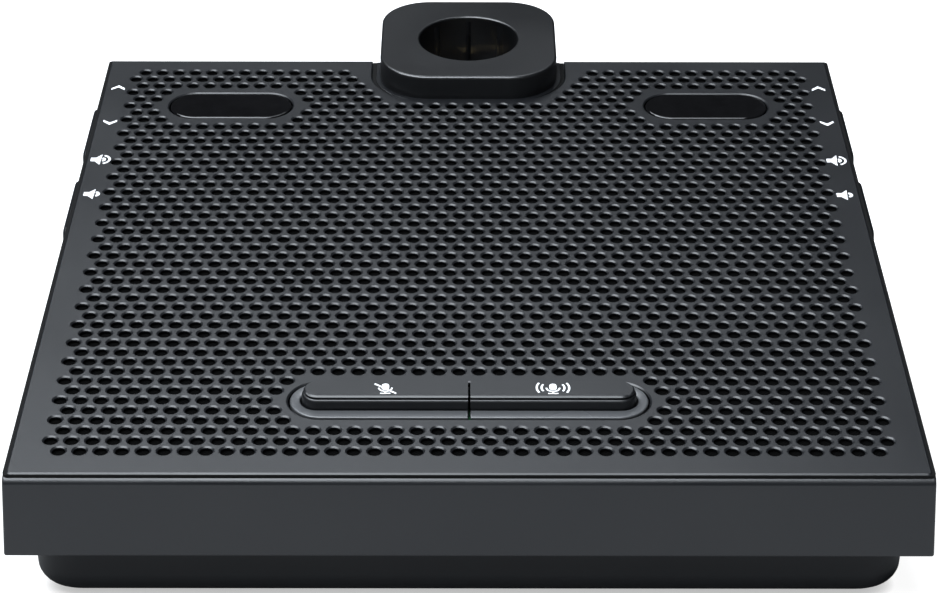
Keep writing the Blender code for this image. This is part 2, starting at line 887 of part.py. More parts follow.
def make_rocker(name, side, place):
    """A rocker cap in the side wall, turning about its pin, which stands square to the deck."""
    turn = (0, 0, 0 if side > 0 else math.pi)
    pivot = frame_empty(f"{name}_pivot", (side * pivot_x, place, rocker_level), turn, deck)
    inside = cap_inside - pivot_x
    outside = half_width + rocker_proud - pivot_x
    outline = stadium(rocker_length, rocker_height)
    rocker = link_part(name, side_solid_of([outline], inside, outside), satin_black, parent=pivot)
    round_edges(rocker, rocker_edge_round, angle_deg=round_edge_angle_deg)
    join(rocker, link_helper(f"{name}_lug", rocker_mesh_parts(), parent=pivot))
    barrel = rod(
        f"{name}_barrel", pivot_lug_radius, (0, 0, -rocker_height / 2), (0, 0, rocker_height / 2)
    )
    join(rocker, link_helper(f"{name}_barrel", barrel, parent=pivot))
    reach = rocker_height / 2 + cut_overrun
    hole = rod(f"{name}_hole", pivot_hole_radius, (0, 0, -reach), (0, 0, reach))
    cut(rocker, link_helper(f"{name}_hole", hole, parent=pivot))

    low = ear_bottom - rocker_level
    high = shelf_bottom + pivot_socket_depth - fit_gap - rocker_level
    pin = rod(f"{name}_pin", pivot_pin_radius, (0, 0, low), (0, 0, high))
    link_part(f"{name}_pin", pin, steel, (side * pivot_x, place, rocker_level), deck)


def make_side_board(side_name, side):
    """The board behind the rockers of one side, with two small switches for each rocker."""
    nib_end = cap_inside - nib_length
    nib_travel = nib_offset * math.sin(math.radians(rocker_swing_deg))
    switch_face = nib_end - nib_travel - fit_gap
    board_face = switch_face - tact_depth - fit_gap
    board_top = shelf_bottom - fit_gap
    board_bottom = flange_top + 2 * fit_gap
    start = rocker_front_place - rocker_length / 2 - side_board_margin
    end = rocker_front_place + rocker_spacing + rocker_length / 2 + side_board_margin
    size = (side_board_thickness, end - start, board_top - board_bottom)
    middle = (
        side * (board_face - side_board_thickness / 2),
        (start + end) / 2,
        (board_top + board_bottom) / 2,
    )
    link_part(f"side_board_{side_name}", box("side_board", size, middle), board_green, parent=deck)
    for name, place in rocker_places():
        for end_name, offset in (("front", -nib_offset), ("rear", nib_offset)):
            size = (tact_depth, tact_width, tact_width)
            middle = (side * (switch_face - tact_depth / 2), place + offset, rocker_level)
            mesh = box("rocker_switch", size, middle)
            label = f"{name}_switch_{end_name}_{side_name}"
            link_part(label, mesh, part_black, parent=deck)


def make_headphone_jack(side_name, side):
    """A jack behind the side wall, with its barrel in the wall."""
    shape = bmesh.new()
    middle = (side * (cap_inside - jack_depth / 2), jack_place, rocker_level)
    add_box(shape, (jack_depth, jack_width, jack_height), middle)
    name = f"headphone_jack_{side_name}"
    jack = link_part(name, mesh_of(shape, name), part_black, parent=deck)
    face = half_width - fit_gap
    start = (side * (cap_inside - join_overlap), jack_place, rocker_level)
    barrel = rod(f"{name}_barrel", jack_barrel_radius, start, (side * face, jack_place, rocker_level))
    join(jack, link_helper(f"{name}_barrel", barrel, parent=deck))
    start = (side * (face - jack_bore_depth), jack_place, rocker_level)
    end = (side * (face + cut_overrun), jack_place, rocker_level)
    cut(jack, link_helper(f"{name}_bore", rod(f"{name}_bore", jack_bore_radius, start, end), parent=deck))


# Loudspeaker


def make_speaker():
    """Frame, surround, cone, voice coil and magnet, hung under the shelf at its round opening."""
    place = (0, speaker_place, shelf_bottom - fit_gap)
    flange = -speaker_flange_thickness
    basket_bottom = -speaker_basket_depth
    mouth = speaker_radius - speaker_flange_width - speaker_basket_wall
    neck = magnet_radius + speaker_basket_wall
    hole = coil_radius + 3 * fit_gap
    frame = [
        (speaker_radius, 0),
        (speaker_radius, flange),
        (mouth + speaker_basket_wall, flange),
        (mouth + speaker_basket_wall, -speaker_rim_depth),
        (neck + speaker_basket_wall, basket_bottom),
        (hole, basket_bottom),
        (hole, basket_bottom + speaker_basket_wall),
        (neck, basket_bottom + speaker_basket_wall),
        (mouth, -speaker_rim_depth),
        (mouth, 0),
    ]
    turned("speaker_frame", frame, steel, place, deck, ring=True)

    outer = mouth - fit_gap
    inner = outer - surround_width
    flank = surround_width * surround_roll_share
    lip = -surround_thickness
    roll = surround_roll_depth
    surround = [
        (outer, lip),
        (outer, 2 * lip),
        (outer - flank, 2 * lip - roll),
        (inner + flank, 2 * lip - roll),
        (inner, 2 * lip),
        (inner, lip),
        (inner + flank, lip - roll),
        (outer - flank, lip - roll),
    ]
    turned("speaker_surround", surround, rubber_black, place, deck, ring=True)

    edge = inner - fit_gap
    shoulder = cone_neck_radius * dust_cap_shoulder_share
    shoulder_level = lip - cone_depth + dust_cap_rise * dust_cap_shoulder_share
    cone = [
        (0, lip - cone_depth + dust_cap_rise),
        (shoulder, shoulder_level),
        (cone_neck_radius, lip - cone_depth),
        (edge, lip),
        (edge, lip - cone_thickness),
        (cone_neck_radius, lip - cone_depth - cone_thickness),
        (shoulder, shoulder_level - cone_thickness),
        (0, lip - cone_depth + dust_cap_rise - cone_thickness),
    ]
    turned("speaker_cone", cone, paper_black, place, deck)

    coil_top = lip - cone_depth - cone_thickness - fit_gap
    coil = [
        (coil_radius, coil_top),
        (coil_radius, coil_top - coil_length),
        (coil_radius - coil_wall, coil_top - coil_length),
        (coil_radius - coil_wall, coil_top),
    ]
    turned("voice_coil", coil, contact_gold, place, deck, ring=True)

    magnet_top = basket_bottom - fit_gap
    slot_bottom = coil_top - coil_length - cone_travel - fit_gap
    slot_outer = coil_radius + fit_gap
    slot_inner = coil_radius - coil_wall - fit_gap
    magnet = [
        (0, magnet_top),
        (slot_inner, magnet_top),
        (slot_inner, slot_bottom),
        (slot_outer, slot_bottom),
        (slot_outer, magnet_top),
        (magnet_radius, magnet_top),
        (magnet_radius, magnet_top - magnet_thickness),
        (0, magnet_top - magnet_thickness),
    ]
    turned("speaker_magnet", magnet, part_black, place, deck)


# Tray


def rounded_tray(inset, bottom, roll, roll_steps):
    """The tray's outer form, or its inside when drawn in: a box with round corners and a rolled edge."""
    shape = bmesh.new()
    top = front_edge_height + plate_length
    size = (
        2 * (tray_half_width - inset),
        tray_rear - tray_front - 2 * inset,
        top - bottom,
    )
    add_box(shape, size, (0, (tray_front + tray_rear) / 2, (top + bottom) / 2))
    upright = [
        edge for edge in shape.edges if abs(edge.verts[0].co.z - edge.verts[1].co.z) > weld_distance
    ]
    bmesh.ops.bevel(
        shape,
        geom=upright,
        offset=tray_corner_radius - inset,
        affect="EDGES",
        segments=corner_steps,
        profile=0.5,
        material=-1,
    )
    low = min(vert.co.z for vert in shape.verts)
    lower = [
        edge for edge in shape.edges if all(abs(vert.co.z - low) < weld_distance for vert in edge.verts)
    ]
    bmesh.ops.bevel(
        shape, geom=lower, offset=roll, affect="EDGES", segments=roll_steps, profile=0.5, material=-1
    )
    return shape


def tray_body():
    """The tray's outer form, cut off by a plane inside the sloping flange."""
    shape = rounded_tray(0, tray_bottom, tray_roll_radius, tray_roll_steps)
    bmesh.ops.bisect_plane(
        shape,
        geom=[*shape.verts, *shape.edges, *shape.faces],
        plane_co=deck_to_world(0, 0, (slab_bottom + flange_top) / 2),
        plane_no=Matrix.Rotation(slope, 3, "X") @ Vector((0, 0, 1)),
        clear_outer=True,
    )
    rim = [edge for edge in shape.edges if edge.is_boundary]
    bmesh.ops.edgeloop_fill(shape, edges=rim)
    bmesh.ops.recalc_face_normals(shape, faces=shape.faces)
    return mesh_of(shape, "tray_body")


def flange_outline():
    """The tray's flange, inside the slab's walls, with the tongue that carries the collar."""
    side = wall_inside - fit_gap
    front = fascia_line(flange_top) + housing_wall / math.cos(math.radians(fascia_lean_deg)) + fit_gap
    rear = rear_face - housing_wall - fit_gap
    tongue = collar_width / 2
    return rounded_outline(
        [
            (-side, front, 0),
            (side, front, 0),
            (side, rear, 0),
            (tongue, rear, 0),
            (tongue, collar_rear, collar_corner_radius),
            (-tongue, collar_rear, collar_corner_radius),
            (-tongue, rear, 0),
            (-side, rear, 0),
        ]
    )


main_board_rear = tray_rear - tray_wall - fit_gap
main_board_bottom = floor_top + standoff_height + fit_gap
network_jack_bottom = main_board_bottom + main_board_thickness + fit_gap


def tray_bosses():
    """Screw bosses and board standoffs on the tray's floor."""
    shape = bmesh.new()
    low = floor_top - join_overlap
    for x, y in screw_places():
        add_rod(shape, tray_boss_radius, (x, y, low), (x, y, screw_seat_top))
    side = main_board_width / 2 - standoff_inset
    front = main_board_rear - main_board_length + standoff_inset
    for x in (-side, side):
        for y in (front, main_board_rear - standoff_inset):
            add_rod(shape, standoff_radius, (x, y, low), (x, y, floor_top + standoff_height))
    return mesh_of(shape, "tray_bosses")


def foot_places():
    side = tray_half_width - foot_inset
    return [
        ("left_front", -side, tray_front + foot_inset),
        ("right_front", side, tray_front + foot_inset),
        ("left_rear", -side, tray_rear - foot_inset),
        ("right_rear", side, tray_rear - foot_inset),
    ]


def network_places():
    return [("left", -network_jack_spread / 2), ("right", network_jack_spread / 2)]


def tray_holes():
    """Screw holes with their wells, foot recesses and the network openings."""
    shape = bmesh.new()
    below = tray_bottom - cut_overrun
    well_top = screw_seat_top - screw_seat_thickness
    for x, y in screw_places():
        add_rod(shape, screw_head_radius + fit_gap, (x, y, below), (x, y, well_top), round_sides)
    for _, x, y in foot_places():
        top = tray_bottom + foot_recess
        add_rod(shape, foot_radius + fit_gap, (x, y, below), (x, y, top), round_sides)
    length = 2 * (tray_wall + cut_overrun)
    height = network_jack_height + 2 * fit_gap
    for _, x in network_places():
        middle = (x, tray_rear - tray_wall / 2, network_jack_bottom - fit_gap + height / 2)
        add_box(shape, (network_jack_width + 2 * fit_gap, length, height), middle)
    return mesh_of(shape, "tray_holes")


def screw_bores():
    """The screws' clearance holes, from the wells up through the bosses."""
    shape = bmesh.new()
    for x, y in screw_places():
        low = (x, y, screw_seat_top - screw_seat_thickness - cut_overrun)
        add_rod(shape, screw_shank_radius + fit_gap, low, (x, y, screw_seat_top + cut_overrun))
    return mesh_of(shape, "screw_bores")


def make_base_tray():
    mesh = solid_of([flange_outline()], slab_bottom, flange_top)
    tray = link_part("base_tray", mesh, base_black, parent=deck)
    join(tray, link_helper("tray_body", tray_body()))
    roll = tray_roll_radius - tray_wall
    inside = rounded_tray(tray_wall, floor_top, roll, tray_inner_roll_steps)
    cut(tray, link_helper("tray_cavity", mesh_of(inside, "tray_cavity")))
    join(tray, link_helper("tray_bosses", tray_bosses()))
    cut(tray, link_helper("tray_holes", tray_holes()))
    cut(tray, link_helper("screw_bores", screw_bores()))
    return tray


def make_feet():
    top = tray_bottom + foot_recess - fit_gap
    for name, x, y in foot_places():
        mesh = rod("rubber_foot", foot_radius, (0, 0, 0), (0, 0, top), round_sides)
        foot = link_part(f"rubber_foot_{name}", mesh, rubber_black, (x, y, 0))
        round_edges(foot, foot_edge_round, 1, round_edge_angle_deg)


def make_screws():
    profile = [
        (0, screw_tip),
        (screw_shank_radius, screw_tip - screw_shank_radius / 2),
        (screw_shank_radius, screw_head_top),
        (screw_head_radius, screw_head_top),
        (screw_head_radius, screw_head_bottom),
        (0, screw_head_bottom),
    ]
    for number, (x, y) in enumerate(screw_places(), 1):
        turned(f"housing_screw_{number}", profile, steel, (x, y, 0), None, small_round_sides)


def make_main_board():
    size = (main_board_width, main_board_length, main_board_thickness)
    middle = (0, main_board_rear - main_board_length / 2, main_board_bottom + main_board_thickness / 2)
    link_part("main_board", box("main_board", size, middle), board_green)


def make_network_jacks():
    """Two network sockets on the main board, open at the tray's rear wall."""
    face = tray_rear - fit_gap
    for name, x in network_places():
        label = f"network_jack_{name}"
        size = (network_jack_width, network_jack_depth, network_jack_height)
        middle = (x, face - network_jack_depth / 2, network_jack_bottom + network_jack_height / 2)
        jack = link_part(label, box(label, size, middle), part_black)
        depth = network_cavity_depth + cut_overrun
        size = (network_cavity_width, depth, network_cavity_height)
        level = network_jack_bottom + network_cavity_floor + network_cavity_height / 2
        middle = (x, face - network_cavity_depth + depth / 2, level)
        cut(jack, link_helper(f"{label}_cavity", box(f"{label}_cavity", size, middle)))


def build():
    make_grille_plate()
    make_grille_cloth()
    make_upper_housing()
    make_socket_collar()
    make_mic_connector()
    for name, side in (("mute", -1), ("speak", 1)):
        make_light_ring(f"{name}_light_ring", side)
        make_key(f"{name}_key", side)
        make_key_switch(f"{name}_key", side)
    make_key_board()
    for side_name, side in (("left", -1), ("right", 1)):
        make_display(side_name, side)
        for rocker_name, place in rocker_places():
            make_rocker(f"{rocker_name}_{side_name}", side, place)
        make_side_board(side_name, side)
        make_headphone_jack(side_name, side)
    make_speaker()
    make_base_tray()
    make_feet()
    make_screws()
    make_main_board()
    make_network_jacks()


build()
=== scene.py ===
"""Conference delegate unit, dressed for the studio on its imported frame.

Most pieces are drawn in the deck's own frame, with X to the right, Y to the rear along the sloping deck
and Z out of it, from the top of the perforated plate at the middle of its front edge. The tray, its feet,
its screws and the network sockets are drawn upright on the table.
"""

import math

import bmesh
import bpy
from mathutils import Matrix, Vector


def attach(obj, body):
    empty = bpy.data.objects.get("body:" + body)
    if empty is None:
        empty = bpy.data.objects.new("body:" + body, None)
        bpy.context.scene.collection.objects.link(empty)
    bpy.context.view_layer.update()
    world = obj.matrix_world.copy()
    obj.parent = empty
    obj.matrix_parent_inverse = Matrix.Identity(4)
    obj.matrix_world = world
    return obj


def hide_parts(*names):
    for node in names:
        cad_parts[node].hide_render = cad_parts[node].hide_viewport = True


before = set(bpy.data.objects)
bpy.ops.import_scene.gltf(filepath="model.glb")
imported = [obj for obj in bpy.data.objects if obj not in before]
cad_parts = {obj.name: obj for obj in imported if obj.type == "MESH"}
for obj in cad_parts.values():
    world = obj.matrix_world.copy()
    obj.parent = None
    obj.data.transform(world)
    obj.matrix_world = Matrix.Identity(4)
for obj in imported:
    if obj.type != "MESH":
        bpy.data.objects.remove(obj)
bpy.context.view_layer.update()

# Deck and plate, in metres
deck_slope = math.radians(13.0)
deck_y = -0.0815540
front_edge_height = 0.0231
plate_width = 0.1482
plate_length = 0.1470
plate_thickness = 0.0005
plate_corner = 0.0008
plate_seam = 0.00015
notch_gap_side = 0.00175
notch_gap_front = 0.00115
rim_width = 0.00028
rim_depth = 0.00020
hole_radius = 0.001125
hole_sides = 14
hole_pitch = 0.0034
hole_rows = 47
hole_columns = 20
first_row = 0.0063
row_step = hole_pitch * math.sqrt(3) / 2

# Levels below the plate's top
rim_level = -0.00055
shelf_top = -0.0016
shelf_bottom = -0.0034
slab_bottom = -0.0127
flange_top = -0.0109

# Clearances and fineness, with angles in radians
gap = 0.0003
overlap = 0.0004
cut_overrun = 0.002
weld = 0.000001
flat_angle = 0.02
sharp_angle = 0.6

# Housing
housing_rim = 0.0005
housing_wall = 0.0022
half_width = plate_width / 2 + housing_rim
wall_inside = half_width - housing_wall
rear_face = plate_length + housing_rim
strips_rear = rear_face - 0.0001
fascia_angle = math.radians(21.2)
fascia_wall = housing_wall / math.cos(fascia_angle)
fascia_front = -0.00046
fascia_top = -0.0008
lip_round = 0.0013
edge_round = 0.0004
speaker_opening_radius = 0.0260
speaker_place = 0.078036
key_post_x = 0.033
key_post_y = 0.007
key_post_radius = 0.0015
key_post_bottom = -0.0080
recess_margin = 0.0025

# Microphone collar
collar_width = 0.0361
collar_length = 0.0358
collar_round = 0.0100
collar_height = 0.0045
collar_overhang = 0.01965
collar_rear = plate_length + collar_overhang
collar_front = collar_rear - collar_length
collar_middle = (collar_front + collar_rear) / 2
bore_radius = 0.01015
rib_height = 0.0005
rib_foot = 0.0040
rib_top = 0.0012
rib_places_deg = (48, 90, 132)
rib_half_width_deg = 3.0
collar_edge = 0.0005
collar_foot_bottom = -0.0030
contact_block_height = 0.0034
contact_circle = 0.0070

# Keys
key_place = first_row + 5 * row_step
key_opening = (0.0603, 0.0111)
key_half_length = 0.0278
key_foot_width = 0.0054
key_height = 0.0023
key_split = 0.0002
ring_gap = 0.00035
ring_bottom = -0.0078
ring_top = 0.00006
ring_edge = 0.00026
print_depth = 0.00001
print_height = 0.00002

# Display windows
window_place = first_row + 41 * row_step
window_x = 0.0477
window_opening = (0.0249, 0.0109)
window_level = -0.00005
window_edge = 0.00036

# Rockers
rocker_level = -0.0067
rocker_places = {"volume_rocker": 0.0950, "channel_rocker": 0.1251}
rocker_length = 0.0212
rocker_height = 0.0042
rocker_face = 0.0765
rocker_inside = 0.0721
rocker_edge = 0.0008
pivot_x = 0.0703
barrel_radius = 0.0017
pin_bore_radius = 0.0010
nib_radius = 0.0009
nib_length = 0.0019
nib_spread = 0.0075
marks_x = 0.0712
chevron_rise = 0.0013
rocker_gap = 0.0004
jack_place = 0.0480
jack_radius = 0.00175
jack_collar_radius = 0.0029
jack_body = (0.0120, 0.0060, 0.0050)
jack_depth = 0.0100

# Tray
tray_front = -0.0800817
tray_rear = 0.0614225
tray_half_width = 0.0710
tray_bottom = 0.0010
tray_corner = 0.0078
tray_roll = 0.0038
tray_wall = 0.0020
tray_floor = 0.0034
tray_uncut_height = 0.1

# Feet, screws and sockets in the tray
foot_inset = 0.0130
foot_radius = 0.0060
screw_inset = 0.0300
screw_bore_radius = 0.0016
screw_head_radius = 0.0025
screw_head_bottom = 0.0025
screw_head_top = 0.0039
screw_boss_radius = 0.0042
screw_boss_bottom = 0.0030
screw_boss_top = 0.0054
screw_post_radius = 0.0033
screw_post_bottom = 0.0057
screw_bore_top = 0.0130
screw_well_top = 0.0042
screw_hole = (0.0041, 0.0065)
well_bottom = -0.0010
foot_well_top = 0.0018
socket_size = (0.0160, 0.0210, 0.0135)
socket_places = {"left": -0.013, "right": 0.013}
socket_bottom = 0.0083

left_right = {"left": -1, "right": 1}
key_sides = {"mute": -1, "speak": 1}

deck = Matrix.Translation((0, deck_y, front_edge_height)) @ Matrix.Rotation(deck_slope, 4, "X")
table = Matrix.Identity(4)


def put_in_scene(name, data):
    """A new object of the scene, from a mesh, curve, lamp or camera."""
    made = bpy.data.objects.new(name, data)
    bpy.context.scene.collection.objects.link(made)
    return made


# Camera, at the photograph's place
camera_place = (-0.001039, -0.465257, 0.182160)
camera_aim = (0.002474, 0.947691, -0.319179)
camera_roll = math.radians(0.125)
camera_lens = 99.69
camera_sensor = 36.0


def set_camera():
    camera = put_in_scene("camera", bpy.data.cameras.new("camera"))
    camera.data.lens = camera_lens
    camera.data.sensor_width = camera_sensor
    camera.data.clip_start = 0.01
    camera.location = camera_place
    aim = Vector(camera_aim).to_track_quat("-Z", "Y")
    camera.rotation_euler = (aim.to_matrix() @ Matrix.Rotation(camera_roll, 3, "Z")).to_euler()
    bpy.context.scene.camera = camera


# Finishes: shared effects first, then each material


def effect(name, inputs, outputs):
    """A shader node group with named sockets, the sockets at its two ends, and the object's coordinates."""
    group = bpy.data.node_groups.new(name, "ShaderNodeTree")
    for socket, value in inputs.items():
        kind = "NodeSocketColor" if isinstance(value, tuple) else "NodeSocketFloat"
        group.interface.new_socket(name=socket, in_out="INPUT", socket_type=kind).default_value = value
    for socket in outputs:
        kind = "NodeSocketColor" if socket == "Colour" else "NodeSocketFloat"
        group.interface.new_socket(name=socket, in_out="OUTPUT", socket_type=kind)
    start, end = group.nodes.new("NodeGroupInput"), group.nodes.new("NodeGroupOutput")
    return group, start.outputs, end.inputs, object_place(group)


def link(tree, *pairs):
    for start, end in pairs:
        tree.links.new(start, end)


def object_place(tree):
    return tree.nodes.new("ShaderNodeTexCoord").outputs["Object"]


def add(tree, kind, **settings):
    """A node, with its settings, and with its inputs joined or set where the name is a socket's."""
    node = tree.nodes.new(f"ShaderNode{kind}")
    for name, value in settings.items():
        if not name[0].isupper() and not name.startswith("in_"):
            setattr(node, name, value)
    for name, value in settings.items():
        if name[0].isupper() or name.startswith("in_"):
            key = int(name[3:]) if name.startswith("in_") else name.replace("_", " ")
            socket = node.inputs[key]
            if isinstance(value, bpy.types.NodeSocket):
                tree.links.new(value, socket)
            else:
                socket.default_value = value
    return node


def calc(tree, operation, first, second=0.0, clamp=False):
    node = add(tree, "Math", operation=operation, use_clamp=clamp, in_0=first, in_1=second)
    return node.outputs[0]


def times(tree, first, second):
    return calc(tree, "MULTIPLY", first, second)


def plus(tree, first, second, clamp=False):
    return calc(tree, "ADD", first, second, clamp)


def noise(tree, place, scale, detail=2.0, roughness=0.5):
    texture = add(tree, "TexNoise", Vector=place, Scale=scale, Detail=detail, Roughness=roughness)
    return texture.outputs[0]


def stretch(tree, value, low, high, to_low=0.0, to_high=1.0):
    """The value taken from one range to another, and held inside it."""
    node = add(tree, "MapRange", Value=value, From_Min=low, From_Max=high, To_Min=to_low, To_Max=to_high)
    return node.outputs[0]


def blend_colours(tree, share, first, second):
    node = add(tree, "Mix", data_type="RGBA", in_0=share, in_6=first, in_7=second)
    return node.outputs[2]


def camera_ray(tree):
    return tree.nodes.new("ShaderNodeLightPath").outputs["Is Camera Ray"]


def toned(tree, start, tone):
    """The group's colour, lighter or darker by the tone."""
    return add(tree, "VectorMath", operation="SCALE", in_0=start["Colour"], Scale=tone).outputs[0]


def moulded_grain_effect():
    """Fine spark-eroded grain of moulded plastic and satin paint, with a slow change of tone."""
    group, start, end, place = effect(
        "moulded_grain",
        {"Colour": (0.05, 0.05, 0.05, 1), "Tone": 0.12, "Grain": 9000.0, "Roughness": 0.45, "Polish": 0.08},
        ("Colour", "Roughness", "Height"),
    )
    fine = noise(group, place, start["Grain"], 3.0, 0.6)
    pits = add(group, "TexVoronoi", Vector=place, Scale=times(group, start["Grain"], 0.5))
    slow = noise(group, place, 38.0, 1.0)
    height = plus(group, fine, times(group, pits.outputs[0], 0.5))
    speckle = stretch(group, fine, 0.3, 0.7, -1.0, 1.0)
    drift = stretch(group, slow, 0.3, 0.7, -1.0, 1.0)
    change = plus(group, times(group, speckle, 0.6), times(group, drift, 0.4))
    tone = plus(group, 1.0, times(group, change, start["Tone"]))
    rough = plus(group, start["Roughness"], times(group, drift, start["Polish"]), True)
    link(group, (toned(group, start, tone), end["Colour"]), (rough, end["Roughness"]),
         (height, end["Height"]))
    return group


def weave_effect():
    """A plain weave: threads that cross over and under."""
    group, start, end, place = effect(
        "plain_weave", {"Colour": (0.006, 0.006, 0.006, 1), "Threads": 2600.0}, ("Colour", "Height"))
    parts = add(group, "SeparateXYZ", Vector=place)
    across = calc(group, "SINE", times(group, parts.outputs[0], start["Threads"]))
    along = calc(group, "SINE", times(group, parts.outputs[1], start["Threads"]))
    over = times(group, across, along)
    height = plus(group, over, times(group, noise(group, place, 9000.0), 0.5))
    tone = stretch(group, height, -1.0, 1.4, 0.4, 1.6)
    link(group, (toned(group, start, tone), end["Colour"]), (height, end["Height"]))
    return group


def wrought_effect():
    """Fine drawn lines and light stains of plated, turned or cast metal."""
    group, start, end, place = effect(
        "metal_finish",
        {"Colour": (0.5, 0.5, 0.5, 1), "Lines": 4000.0, "Roughness": 0.3, "Stain": 0.2},
        ("Colour", "Roughness", "Height"),
    )
    drawn = add(group, "Mapping", Vector=place, Scale=(1.0, 1.0, 14.0))
    lines = noise(group, drawn.outputs[0], start["Lines"], 3.0)
    shade = stretch(group, noise(group, place, 160.0, 5.0, 0.65), 0.35, 0.7)
    tone = calc(group, "SUBTRACT", 1.0, times(group, shade, start["Stain"]))
    wear = times(group, plus(group, shade, lines), 0.12)
    link(group, (toned(group, start, tone), end["Colour"]),
         (plus(group, start["Roughness"], wear, True), end["Roughness"]),
         (lines, end["Height"]))
    return group


def board_effect():
    """Solder mask over copper: tracks, pads with vias, and the weave of the laminate."""
    group, start, end, place = effect(
        "circuit_pattern",
        {"Mask": (0.02, 0.12, 0.05, 1), "Track": (0.05, 0.22, 0.09, 1), "Pad": (0.62, 0.5, 0.28, 1),
         "Scale": 420.0},
        ("Colour", "Pads", "Height"),
    )
    tracks = add(group, "TexBrick", Vector=place, Scale=start["Scale"], Mortar_Size=0.06)
    vias = add(group, "TexVoronoi", Vector=place, Scale=start["Scale"], Randomness=0.75)
    track = calc(group, "SUBTRACT", 1.0, tracks.outputs["Fac"])
    pad = calc(group, "LESS_THAN", vias.outputs["Distance"], 0.12)
    laminate = times(group, track, noise(group, place, 3000.0))
    mask = blend_colours(group, laminate, start["Track"], start["Mask"])
    link(group, (blend_colours(group, pad, mask, start["Pad"]), end["Colour"]), (pad, end["Pads"]),
         (plus(group, track, pad), end["Height"]))
    return group


def new_finish(name, **settings):
    """An empty finish with its shader, and the shader's uniform values set on its own sockets."""
    finish = bpy.data.materials.new(name)
    finish.use_nodes = True
    shader = finish.node_tree.nodes["Principled BSDF"]
    for socket, value in settings.items():
        shader.inputs[socket.replace("_", " ")].default_value = value
    return finish, finish.node_tree, shader


def effect_finish(name, group, depth, values, **settings):
    """A finish whose shared effect, set to these values, feeds the shader's sockets and a bump."""
    finish, tree, shader = new_finish(name, **settings)
    node = tree.nodes.new("ShaderNodeGroup")
    node.node_tree = group
    for socket, value in values.items():
        node.inputs[socket].default_value = value
    bump = add(tree, "Bump", Height=node.outputs["Height"], Distance=depth)
    link(tree, (bump.outputs[0], shader.inputs["Normal"]),
         *[(output, shader.inputs[fed_sockets[output.name]]) for output in node.outputs
           if output.name in fed_sockets])
    return finish


def moulded(name, colour, roughness, tone=0.12, grain=9000.0, depth=0.000008, polish=0.03, **settings):
    """A moulded or painted finish on the shared grain."""
    values = {"Colour": (*colour, 1), "Tone": tone, "Grain": grain, "Roughness": roughness,
              "Polish": polish}
    return effect_finish(name, moulded_grain, depth, values, **settings)


def metal(name, colour, roughness, lines=4000.0, stain=0.2):
    """A plated, turned or cast metal."""
    values = {"Colour": (*colour, 1), "Lines": lines, "Roughness": roughness, "Stain": stain}
    return effect_finish(name, metal_finish, 0.000004, values, Metallic=1.0)


fed_sockets = {"Colour": "Base Color", "Roughness": "Roughness", "Pads": "Metallic"}
moulded_grain = moulded_grain_effect()
plain_weave = weave_effect()
metal_finish = wrought_effect()
circuit_pattern = board_effect()

housing_finish = moulded("housing_satin", (0.0065, 0.0071, 0.0083), 0.31)
plate_finish = moulded("plate_paint", (0.0065, 0.0071, 0.0083), 0.36, grain=7000.0)
collar_finish = moulded("collar_satin", (0.0033, 0.0036, 0.0042), 0.31, Specular_IOR_Level=0.8)
tray_finish = moulded("tray_satin", (0.0028, 0.0035, 0.0046), 0.45, Specular_IOR_Level=0.3)
key_finish = moulded("key_satin", (0.0070, 0.0076, 0.0086), 0.32, depth=0.000005)
ring_finish = moulded("ring_frosted", (0.060, 0.062, 0.065), 0.25, tone=0.05, depth=0.000004,
                      Coat_Weight=0.2)
window_finish = moulded("window_smoked", (0.0034, 0.0034, 0.0038), 0.08, tone=0.3, grain=300.0,
                        depth=0.0000005, polish=0.02, Specular_IOR_Level=0.6)
rocker_finish = moulded("rocker_satin", (0.006, 0.0065, 0.0075), 0.3)
print_finish = moulded("white_print", (0.82, 0.83, 0.84), 0.55, tone=0.06, grain=12000.0)
component_finish = moulded("component_black", (0.018, 0.018, 0.019), 0.5)
rubber_finish = moulded("rubber_black", (0.012, 0.012, 0.012), 0.8, tone=0.25, grain=5000.0, depth=0.00003)
# Near-black and nearly without gloss, for strips that stand in seams and gaps as painted shade.
painted_shade_finish = moulded("painted_shade_black", (0.004, 0.004, 0.004), 0.6, tone=0.25, Specular_IOR_Level=0.1)
magnet_finish = moulded("magnet_ferrite", (0.045, 0.045, 0.048), 0.55, tone=0.35, grain=2500.0,
                        depth=0.00003)
cone_finish = moulded("cone_pressed_paper", (0.020, 0.020, 0.021), 0.9, tone=0.35, grain=2200.0,
                      depth=0.00005)
cloth_finish = effect_finish("acoustic_cloth", plain_weave, 0.00005,
                             {"Colour": (0.0016, 0.0016, 0.0016, 1), "Threads": 9000.0},
                             Roughness=0.95, Specular_IOR_Level=0.02)
steel_finish = metal("plated_steel", (0.56, 0.57, 0.59), 0.28)
gold_finish = metal("gold_contacts", (0.83, 0.62, 0.30), 0.2, stain=0.1)
coil_finish = metal("coil_copper", (0.80, 0.42, 0.20), 0.3, lines=9000.0)
board_finish = effect_finish("circuit_board", circuit_pattern, 0.00003, {}, Roughness=0.4, Coat_Weight=0.3)


# Shapes


def both_sides(corners):
    """The corners of an outline's right half, from its front edge on, and the same on the left."""
    left = [(-x, y, radius) for x, y, radius in reversed(corners)]
    return [left[-1], *corners, *left[:-1]]


